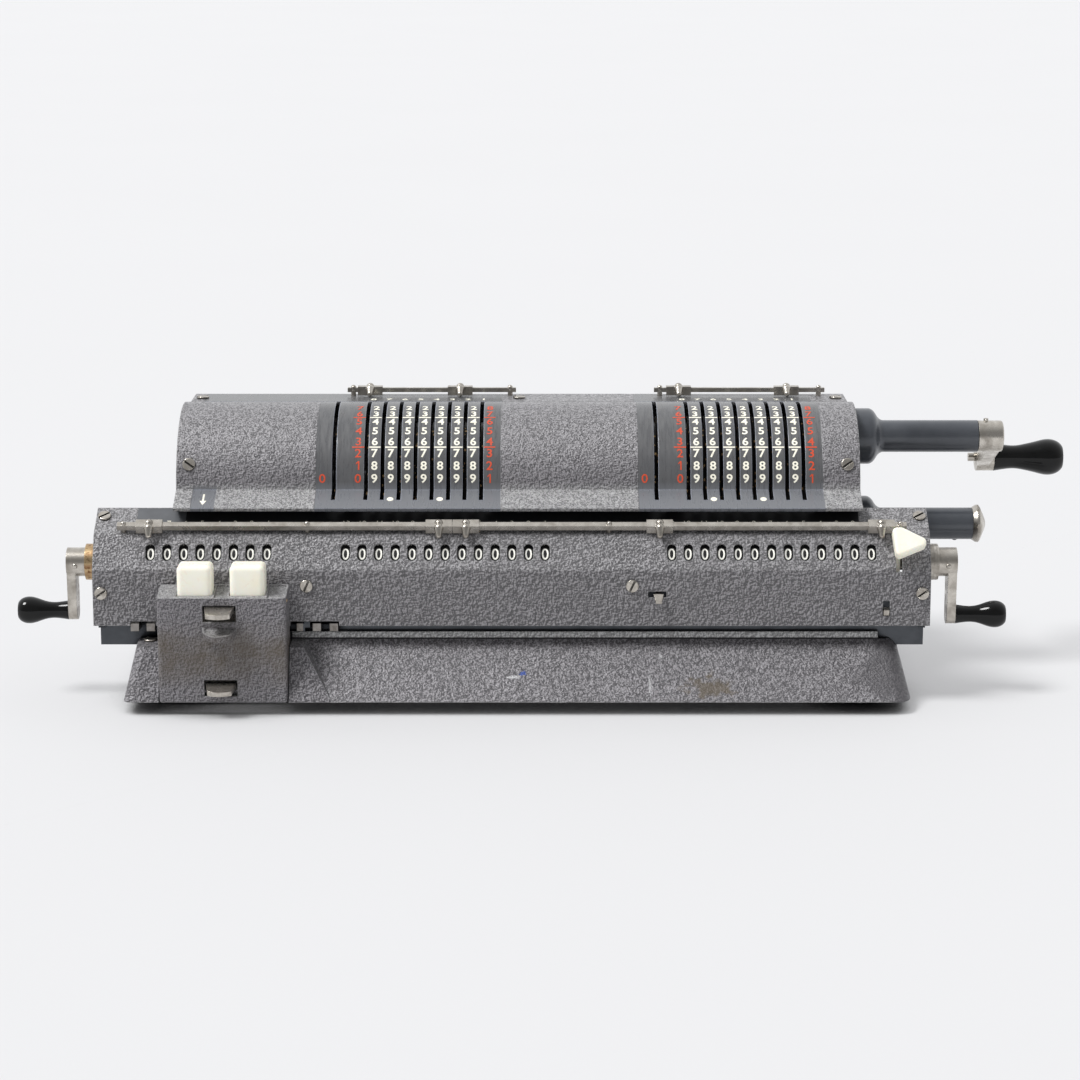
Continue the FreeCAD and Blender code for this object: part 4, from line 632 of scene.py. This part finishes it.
# the number wheels' digits glow most, as painted light, so that they show bright in the dark windows
WHEEL_PAINT = marking("wheel_marking", (0.90, 0.89, 0.82, 1), (0.72, 0.70, 0.62, 1), 0.32)
RED_PAINT = marking("red_marking", (0.66, 0.080, 0.030, 1), (0.30, 0.09, 0.06, 1), 0.02)
ALL_ROUND = (1.0, 1.0, 1.0)
WIDE = (0.5, 1.0, 1.0)
LYING = (0.25, 1.0, 1.0)
UPRIGHT = (1.0, 0.12, 0.12)
SQUARE_ON = [(0, 1, 0), (0, 0, 1), (0, 0.866, -0.5), (0, 0.535, -0.845), (0, 0.5, 0.866), (0, 0.866, 0.5)]
HAMMER_COVER = hammertone("hammertone_cover", number_panels, faces=SQUARE_ON,
                          ends=(COVER_LOW[0] + 0.5, COVER_HIGH[0] - 0.5), dust=ledge_light, size=0.72)
HAMMER_STRIP = hammertone("hammertone_strip", strip_panels)
# the carriage's upward faces are painted paler as lit (pale)
HAMMER_CARRIAGE = hammertone("hammertone_carriage", faces=SQUARE_ON,
                             ends=(CARRIAGE_LOW[0] + 0.5, CARRIAGE_HIGH[0] - 0.5), size=0.85, cracked=0.16,
                             pale=0.15)
BASE_MARKS = [
    ((184.0, -78.0, 14.0), 26.0, ALL_ROUND, HAMMER_DARK, 0.75),      # painted shade on the rounded right end
    ((92.5, -83.0, 12.0), 6.5, WIDE, STAIN, 0.8),
    ((63.3, -81.4, 13.5), 0.9, UPRIGHT, CHIP, 0.5),                  # two scratches
    ((68.7, -70.2, 24.0), 1.2, ALL_ROUND, CHIP, 0.5),
    ((-2.0, -78.7, 16.0), 0.9, LYING, CHIP, 0.9),                    # white and blue chip
    ((2.4, -77.4, 17.3), 1.7, ALL_ROUND, CHIP_BLUE, 0.95)]
# the base: painted light on its upward faces (pale) and on its rib, painted shade in its gaps and on its
# right end
HAMMER_BASE = hammertone("hammertone_base", size=0.85, cracked=0.11, pale=-0.13, dust=rib_light,
                         seam=base_shade_lines, marks=BASE_MARKS)
HAMMER_BOX = hammertone("hammertone_box", stain=box_stain, dust=box_top_light, size=0.62)

FINISHES = [
    (HAMMER_COVER, ["drum_cover"]),
    (HAMMER_STRIP, ["rear_cover"]),
    (HAMMER_CARRIAGE, ["carriage_cover"]),
    (HAMMER_BASE, ["base_casting"]),
    (HAMMER_BOX, ["key_housing"]),
    (DARK_STEEL, ["side_frames", "drum_shaft"]),
    (CARRIAGE_STEEL, ["carriage_frame"]),
    (BLUE_STEEL, ["frame_rails"]),
    (TUBE_SLATE, ["bearing_tubes"]),
    (NICKEL, ["catch_cap", "crank_shaft", "crank_arm", "top_marker_rails", "carriage_marker_rail",
              "clear_crank_left", "clear_crank_right"]),
    (DEEP_NICKEL, ["release_tab", "lock_tab", "point_slider", "register_slider"]),
    (NICKEL, [f"comma_rider_{n}" for n in range(1, 6)] + [f"top_rider_{n}" for n in range(1, 5)]),
    (LEVER, [name for name in frame["nodes"] if name.startswith(("setting_lever", "clearing_lever"))]),
    (SCREW_NICKEL, ["body_screws", "carriage_screws"]),
    (BLACK_PINNED, ["crank_handle"]),
    (BLACK_GLOSS, ["clear_handle_left", "clear_handle_right"]),
    (BLACK_WHEEL, ["counter_wheels", "result_wheels"]),
    (IVORY, ["transfer_knob", "shift_key_left", "shift_key_right"]),
    (PINS, ["pinwheels"]),
    (RUBBER, ["rubber_feet"]),
]


def paint_node(name, material):
    node = frame["nodes"][name]
    for slot in node.material_slots:
        slot.material = material


for finish, names in FINISHES:
    for name in names:
        paint_node(name, finish)


# ---------------------------------------------------------------- digits and marks
GLYPH_STEPS = 6              # levels at which a glyph is cut, so that it bends round a drum
glyphs = {}


def glyph(text, height, width, bold=0.0):
    """A flat glyph in mm, centred, with its upright stroke cut in levels. width is that of a nought."""
    key = (text, height, width, bold)
    if key in glyphs:
        return glyphs[key]
    curve = bpy.data.curves.new("glyph", "FONT")
    curve.body = text
    curve.resolution_u = 3
    curve.offset = bold
    holder = bpy.data.objects.new("glyph", curve)
    made = bmesh.new()
    flat = bpy.data.meshes.new_from_object(holder)
    made.from_mesh(flat)
    low = Vector((min(v.co.x for v in made.verts), min(v.co.y for v in made.verts), 0))
    high = Vector((max(v.co.x for v in made.verts), max(v.co.y for v in made.verts), 0))
    middle = (low + high) / 2
    bpy.data.objects.remove(holder)
    bpy.data.curves.remove(curve)
    bpy.data.meshes.remove(flat)
    if text == "0":
        glyphs["nought", bold] = high.x - low.x
    elif ("nought", bold) not in glyphs:
        glyph("0", height, width, bold)
    across = width / glyphs["nought", bold]
    up = height / (high.y - low.y)
    for vertex in made.verts:
        vertex.co = Vector(((vertex.co.x - middle.x) * across, (vertex.co.y - middle.y) * up, 0))
    for step in range(1, GLYPH_STEPS):
        level = height * (step / GLYPH_STEPS - 0.5)
        bmesh.ops.bisect_plane(made, geom=made.verts[:] + made.edges[:] + made.faces[:],
                               plane_co=(0, level, 0), plane_no=(0, 1, 0))
    bmesh.ops.triangulate(made, faces=made.faces[:])
    made.verts.index_update()
    shape = ([v.co.copy() for v in made.verts], [[v.index for v in f.verts] for f in made.faces])
    made.free()
    glyphs[key] = shape
    return shape


def flagged_one(height, stroke, flag):
    """A one with a flag, cut in levels as glyph() cuts it."""
    levels = [height * (step / GLYPH_STEPS - 0.5) for step in range(GLYPH_STEPS + 1)]
    points = [Vector((x, y, 0)) for y in levels for x in (0, stroke)]
    faces = [[2 * k, 2 * k + 1, 2 * k + 3, 2 * k + 2] for k in range(GLYPH_STEPS)]
    top, start = height / 2, len(points)
    points += [Vector((x, top - drop, 0)) for x, drop in ((0, 0), (-flag, flag), (-flag, flag + stroke),
                                                          (0, stroke * 1.1))]
    return points, faces + [[start + k for k in range(4)]]


def outline_shape(points):
    """A flat mark in mm from its corners, as glyph() gives one."""
    return [Vector((x, y, 0)) for x, y in points], [list(range(len(points)))]


def oval(width, height, count=20):
    turns = [2 * math.pi * k / count for k in range(count)]
    return outline_shape([(width / 2 * math.cos(a), height / 2 * math.sin(a)) for a in turns])


class Marks:
    """One mesh of painted marks that ride together."""

    def __init__(self, name, body, material, slot):
        self.name, self.body, self.material, self.slot = name, body, material, slot
        self.points, self.faces = [], []

    def add(self, shape, place):
        start = len(self.points)
        points, faces = shape
        self.points += [place(p.x, p.y) for p in points]
        self.faces += [[start + k for k in face] for face in faces]

    def make(self):
        mesh = bpy.data.meshes.new(self.name)
        mesh.from_pydata(self.points, [], self.faces)
        mesh.materials.append(self.material)
        made = bpy.data.objects.new(self.name, mesh)
        bpy.context.scene.collection.objects.link(made)
        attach(made, self.body)
        return made


def around(axis, radius, x, angle):
    """Places a mark on a drum: x in mm from the middle of the body, angle up from the front."""
    def place(right, up):
        turn = math.radians(angle) + up / radius
        return Vector((DRUM.x + (x + right) * MM,
                       axis.y - radius * MM * math.cos(turn), axis.z + radius * MM * math.sin(turn)))
    return place


def on_plane(origin, right, up):
    """Places a mark on a plane: origin in metres, right and up its directions."""
    return lambda u, v: origin + right * (u * MM) + up * (v * MM)


INK = 0.06                   # how far paint stands proud, mm
DIGIT_HEIGHT = 4.45
DIGIT_WIDTH = 3.1
FIRST_ANGLE = 95.5           # nought, up from the front
DIGIT_STEP = 9.0
CREAM_BOLD, RED_BOLD = 0.024, 0.014
ONE_STROKE, ONE_FLAG = 0.72, 0.95
DASH_ANGLES = (37.0, 64.0)   # of the dashes at the sixth and the third digit
CLEAR_DIGIT_X = -5.7         # from the clearing slot


def digit_angle(digit):
    return FIRST_ANGLE - DIGIT_STEP * digit


def red_digit(digit):
    if digit == 1:
        return flagged_one(DIGIT_HEIGHT, ONE_STROKE, ONE_FLAG)
    return glyph(str(digit), DIGIT_HEIGHT, DIGIT_WIDTH, RED_BOLD)


def cover_digits():
    cream = Marks("cover_digits_cream", "machine", CREAM_PAINT, "ivory_plastic")
    red = Marks("cover_digits_red", "machine", RED_PAINT, "ivory_plastic")
    radius = COVER_RADIUS + INK
    for side, slots in SLOTS.items():
        before, after = slots[0] - PITCH / 2, slots[-1] + PITCH / 2
        for digit in range(2, 10):
            angle = digit_angle(digit)
            for left_slot in slots[:-1]:
                cream.add(glyph(str(digit), DIGIT_HEIGHT, DIGIT_WIDTH, CREAM_BOLD),
                          around(DRUM, radius, left_slot + PITCH / 2, angle))
            red.add(red_digit(9 - digit), around(DRUM, radius, before, angle))
            red.add(red_digit(10 - digit), around(DRUM, radius, after, angle))
        red.add(red_digit(0), around(DRUM, radius, CLEAR_SLOTS[side] + CLEAR_DIGIT_X, digit_angle(9)))
        for angle in DASH_ANGLES:
            for left_slot in slots[:-1]:
                cream.add(dash(PITCH - 2.2), around(DRUM, radius, left_slot + PITCH / 2, angle))
            red.add(dash(PITCH - 2.0), around(DRUM, radius, before, angle))
            red.add(dash(PITCH - 2.4), around(DRUM, radius, after, angle))
    cream.make()
    red.make()


def dash(width, height=0.75):
    return outline_shape([(-width / 2, -height / 2), (width / 2, -height / 2),
                          (width / 2, height / 2), (-width / 2, height / 2)])


WINDOW_ANGLE = 31.0          # of the register windows, up from the front
WHEEL_DIGIT = (5.8, 3.3, 0.006)      # height, width and bold, as the next ones
STRIP_DIGIT = (4.5, 3.0, 0.02)
SCALE_DIGIT = (3.6, 1.9, 0.0)
WHEEL_WIDTH = 6.6


def wheel_digits():
    for node, body in (("counter_wheels", "counter_wheels"), ("result_wheels", "result_wheels")):
        low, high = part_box(node)
        radius = (high.z - low.z) / 2 / MM
        marks = Marks(f"{node}_digits", body, WHEEL_PAINT, "ivory_plastic")
        for x in wheel_places(node):
            for digit in range(10):
                marks.add(glyph(str(digit), *WHEEL_DIGIT),
                          around(REGISTER, radius + 0.04, x, WINDOW_ANGLE - 36.0 * digit))
        marks.make()


def wheel_places(node):
    """Middles of the number wheels in mm, read from where the node's mesh has its rims."""
    sides = sorted({round((v.co.x - DRUM.x) / MM, 2) for v in frame["nodes"][node].data.vertices})
    found = []
    for side in sides:
        middle = side + WHEEL_WIDTH / 2
        if any(abs(side + WHEEL_WIDTH - other) < 0.03 for other in sides) \
                and (not found or middle - found[-1] > PITCH - 0.5):
            found.append(middle)
    return found


cover_digits()
wheel_digits()


RIGHT = Vector((1, 0, 0))
LEDGE_FRONT, LEDGE_BACK = Vector((-54.8, 93.6)), Vector((-40.03, 99.63))
SLOPE_FRONT, SLOPE_BACK = Vector((-59.2, 82.0)), Vector((-43.0, 91.4))


def on_slope(front, back, x, share, lift=INK):
    """Places a mark on a plane that rises from front to back, both as y and z in mm."""
    rise = (back - front).normalized()
    middle = front.lerp(back, share) + Vector((-rise.y, rise.x)) * lift
    return on_plane(at(x, middle.x, middle.y), RIGHT, Vector((0, rise.x, rise.y)))


OVAL_PLACES = (1.5, 4.5)     # in slots from the first one
OVAL_SIZE = (3.2, 3.4)
ARROW = [(-0.45, 4.6), (-0.45, -1.0), (-1.7, -1.0), (0, -4.6), (1.7, -1.0), (0.45, -1.0), (0.45, 4.6)]


def ledge_marks():
    """Arrow and the ovals of the decimal places on the ledge."""
    marks = Marks("ledge_marks", "machine", CREAM_PAINT, "ivory_plastic")
    for slots in SLOTS.values():
        for place in OVAL_PLACES:
            marks.add(oval(*OVAL_SIZE), on_slope(LEDGE_FRONT, LEDGE_BACK, slots[0] + place * PITCH, 0.5))
    arrow_x = (ARROW_PANEL[0] + ARROW_PANEL[1]) / 2
    marks.add(outline_shape(ARROW), on_slope(LEDGE_FRONT, LEDGE_BACK, arrow_x, 0.47))
    marks.make()


STRIP_DIGITS_Y = 34.0


def strip_digits():
    """Numbers of the places, 8 to 1, on the top strip over the setting slots."""
    marks = Marks("strip_digits", "machine", CREAM_PAINT, "ivory_plastic")
    top = node_box("rear_cover")[1][2]
    for slots in SLOTS.values():
        for number, x in enumerate(slots):
            marks.add(glyph(str(SLOT_COUNT - number), *STRIP_DIGIT),
                      on_plane(at(x, STRIP_DIGITS_Y, top + INK), RIGHT, Vector((0, 1, 0))))
    marks.make()


SCALE_ENDS = (-184.4, -160.7, 164.8)     # of the lighter and the black part
SCALE_SHARES = (0.12, 0.98)


def carriage_scale():
    """Dark scale on the slope behind the marker rail, with the numbers of the places."""
    low, high = SCALE_SHARES
    length = (SLOPE_BACK - SLOPE_FRONT).length
    for name, start, end, paint in (("scale_end", SCALE_ENDS[0], SCALE_ENDS[1], SCALE_GREY),
                                    ("scale", SCALE_ENDS[1], SCALE_ENDS[2], SCALE_BLACK)):
        band = Marks(f"carriage_{name}", "carriage", paint, "slate_enamel")
        band.add(dash(end - start, (high - low) * length),
                 on_slope(SLOPE_FRONT, SLOPE_BACK, (start + end) / 2, (low + high) / 2, 0.05))
        band.make()
    marks = Marks("carriage_scale_digits", "carriage", CREAM_PAINT, "ivory_plastic")
    for node in ("counter_wheels", "result_wheels"):
        places = wheel_places(node)
        for number, x in enumerate(places):
            count = len(places) if node == "counter_wheels" else len(places) // 2
            marks.add(glyph(str((count - number) % count or count), *SCALE_DIGIT),
                      on_slope(SLOPE_FRONT, SLOPE_BACK, x, 0.40, 0.10))
    marks.make()


# ---------------------------------------------------------------- small pieces
def turned_piece(name, stations, origin, axis, body, material, count=48):
    """A turned piece from (distance along the axis, radius) stations in mm."""
    along = Vector(axis).normalized()
    side = along.orthogonal().normalized()
    other = along.cross(side)
    points, faces = [], []
    for distance, radius in stations:
        for step in range(count):
            turn = 2 * math.pi * step / count
            points.append(origin + (along * distance + side * (radius * math.cos(turn))
                                    + other * (radius * math.sin(turn))) * MM)
    for ring in range(len(stations) - 1):
        for step in range(count):
            after = (step + 1) % count
            faces.append([ring * count + step, ring * count + after,
                          (ring + 1) * count + after, (ring + 1) * count + step])
    faces.append(list(range(count))[::-1])
    faces.append([(len(stations) - 1) * count + step for step in range(count)])
    mesh = bpy.data.meshes.new(name)
    mesh.from_pydata(points, [], faces)
    mesh.materials.append(material)
    mesh.shade_smooth()
    mesh.set_sharp_from_angle(angle=math.radians(35))
    made = bpy.data.objects.new(name, mesh)
    bpy.context.scene.collection.objects.link(made)
    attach(made, body)
    return made


def dome(radius, rise):
    """Stations of a low dome."""
    turns = (0, 20, 40, 60, 75)
    return [(-1.0, radius)] + [(rise * math.sin(math.radians(a)), radius * math.cos(math.radians(a)))
                               for a in turns]


SHAFT_AXIS = (-59.0, 65.9)   # of the clearing cranks' shafts, y and z
CROSS_PIN_REACH = 9.7        # of the cross pins beyond the carriage's ends
BOX_STUD = (-84.0, 55.3)     # y and z
OIL_HOLE = (199.2, -0.8)     # x and y
OIL_HOLE_DROP = 1.3          # below the top of the crank's hub
TUBE_STUD_X = 218.9
TUBE_STUD_DROP = 7.9         # below the axis of the home catch


def cap_and_pins():
    """The smooth cap of the home catch, and the pins and the oil hole of shafts and tubes."""
    low, high = node_box("catch_cap")
    axis_z = (low[2] + high[2]) / 2
    rim = (high[2] - low[2]) / 2
    profile = [(0.0, rim * 0.86), (1.9, rim * 0.99), (2.3, rim), (3.1, rim), (3.5, rim * 0.97)]
    profile += [(3.5 + 2.9 * k / 4, rim * (0.97 - 0.68 * (k / 4) ** 1.15)) for k in range(1, 5)]
    profile += [(6.75, rim * 0.16)]
    cap = turned_piece("catch_cap_smooth", profile, at(low[0], 0, axis_z), RIGHT,
                       "machine", NICKEL)
    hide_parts("catch_cap")
    for side, x in (("left", CARRIAGE_LOW[0] - CROSS_PIN_REACH),
                    ("right", CARRIAGE_HIGH[0] + CROSS_PIN_REACH)):
        turned_piece(f"cross_pin_{side}", dome(1.25, 0.5), at(x, *SHAFT_AXIS), (0, -1, 0),
                     f"clear_crank_{side}", NICKEL, 24)
    turned_piece("box_stud", dome(0.8, 0.4), at(node_box("key_housing")[1][0], *BOX_STUD), RIGHT,
                 "machine", BRASS, 20)
    # the oil hole is drawn as a low black dome, painted shade in place of the hole
    oil_hole_z = node_box("crank_arm")[1][2] - OIL_HOLE_DROP
    turned_piece("oil_hole", dome(0.95, 0.25), at(*OIL_HOLE, oil_hole_z), (0, 0, 1),
                 "machine", BLACK_WHEEL, 20)
    turned_piece("tube_stud", dome(1.3, 0.7), at(TUBE_STUD_X, 0.0, axis_z - TUBE_STUD_DROP), (0, 0, -1),
                 "machine", TUBE_SLATE, 20)


ledge_marks()
strip_digits()
carriage_scale()
cap_and_pins()


# ---------------------------------------------------------------- floor, light and camera
PAPER_LIGHT = (0.39, 0.39, 0.395, 1)
PAPER_DARK = (0.386, 0.386, 0.391, 1)
PAPER_GLOW = (0.985, 0.985, 1.0, 1)
SHADOW_REACH = 40.0
FLOOR_HALF = 30.0            # m


def floor_paper():
    """White paper that glows evenly, with a painted shadow close under the machine."""
    paint = Paint("floor_paper")
    tint = paint.mix(paint.ramp(paint.noise(400, 2.0), 0.3, 0.7), PAPER_LIGHT, PAPER_DARK)
    paint.shader.inputs["Emission Color"].default_value = PAPER_GLOW
    open_air = paint.open_air(SHADOW_REACH)
    # painted shadow: the paper darkened and its glow taken away close under the machine
    tint = paint.mix(paint.ramp(open_air, 0.52, 0.28), tint, grey(0.03))
    glow = paint.ramp(open_air, 0.30, 0.60, 0.0, 0.33)
    paint.feed(paint.shader.inputs["Emission Strength"], glow)
    return paint.finish(tint, 0.9, paint.bump(paint.noise(30), 0.02))


def floor():
    half = FLOOR_HALF
    corners = [(-half, -half, 0), (half, -half, 0), (half, half, 0), (-half, half, 0)]
    mesh = bpy.data.meshes.new("floor")
    mesh.from_pydata(corners, [], [(0, 1, 2, 3)])
    mesh.materials.append(floor_paper())
    made = bpy.data.objects.new("floor", mesh)
    bpy.context.scene.collection.objects.link(made)


SUN_TRAVEL = (0.50, 0.22, -0.84)
SUN_POWER = 2.75
SUN_SPREAD = 20.0
SKY_FRONT, SKY_BACK = 0.27, 0.98
SKY_TINT = (0.975, 0.985, 1.0, 1)


def lights():
    """Soft daylight: brighter from behind and above than from the front, and one broad sun."""
    world = bpy.data.worlds.new("studio")
    world.use_nodes = True
    nodes, links = world.node_tree.nodes, world.node_tree.links
    coordinates = nodes.new("ShaderNodeTexCoord")
    parts = nodes.new("ShaderNodeSeparateXYZ")
    links.new(coordinates.outputs["Generated"], parts.inputs[0])
    depth = nodes.new("ShaderNodeMapRange")
    links.new(parts.outputs["Y"], depth.inputs["Value"])
    for name, value in (("From Min", -0.7), ("From Max", 0.5), ("To Min", SKY_FRONT), ("To Max", SKY_BACK)):
        depth.inputs[name].default_value = value
    sky = nodes["Background"]
    sky.inputs["Color"].default_value = SKY_TINT
    links.new(depth.outputs["Result"], sky.inputs["Strength"])
    bpy.context.scene.world = world
    sun = bpy.data.lights.new("soft_sun", "SUN")
    sun.energy = SUN_POWER
    sun.angle = math.radians(SUN_SPREAD)
    holder = bpy.data.objects.new("soft_sun", sun)
    holder.rotation_euler = Vector(SUN_TRAVEL).to_track_quat("-Z", "Y").to_euler()
    bpy.context.scene.collection.objects.link(holder)


CAMERA_PLACE = (10.6, -1394.68, 387.37)
CAMERA_PITCH = 13.0
CAMERA_LENS = 94.9


def camera():
    data = bpy.data.cameras.new("camera")
    data.lens = CAMERA_LENS
    data.sensor_width = 36.0
    made = bpy.data.objects.new("camera", data)
    made.location = at(*CAMERA_PLACE)
    made.rotation_euler = (math.radians(90 - CAMERA_PITCH), 0, 0)
    bpy.context.scene.collection.objects.link(made)
    bpy.context.scene.camera = made


floor()
lights()
camera()
bpy.context.scene.view_settings.view_transform = "Standard"
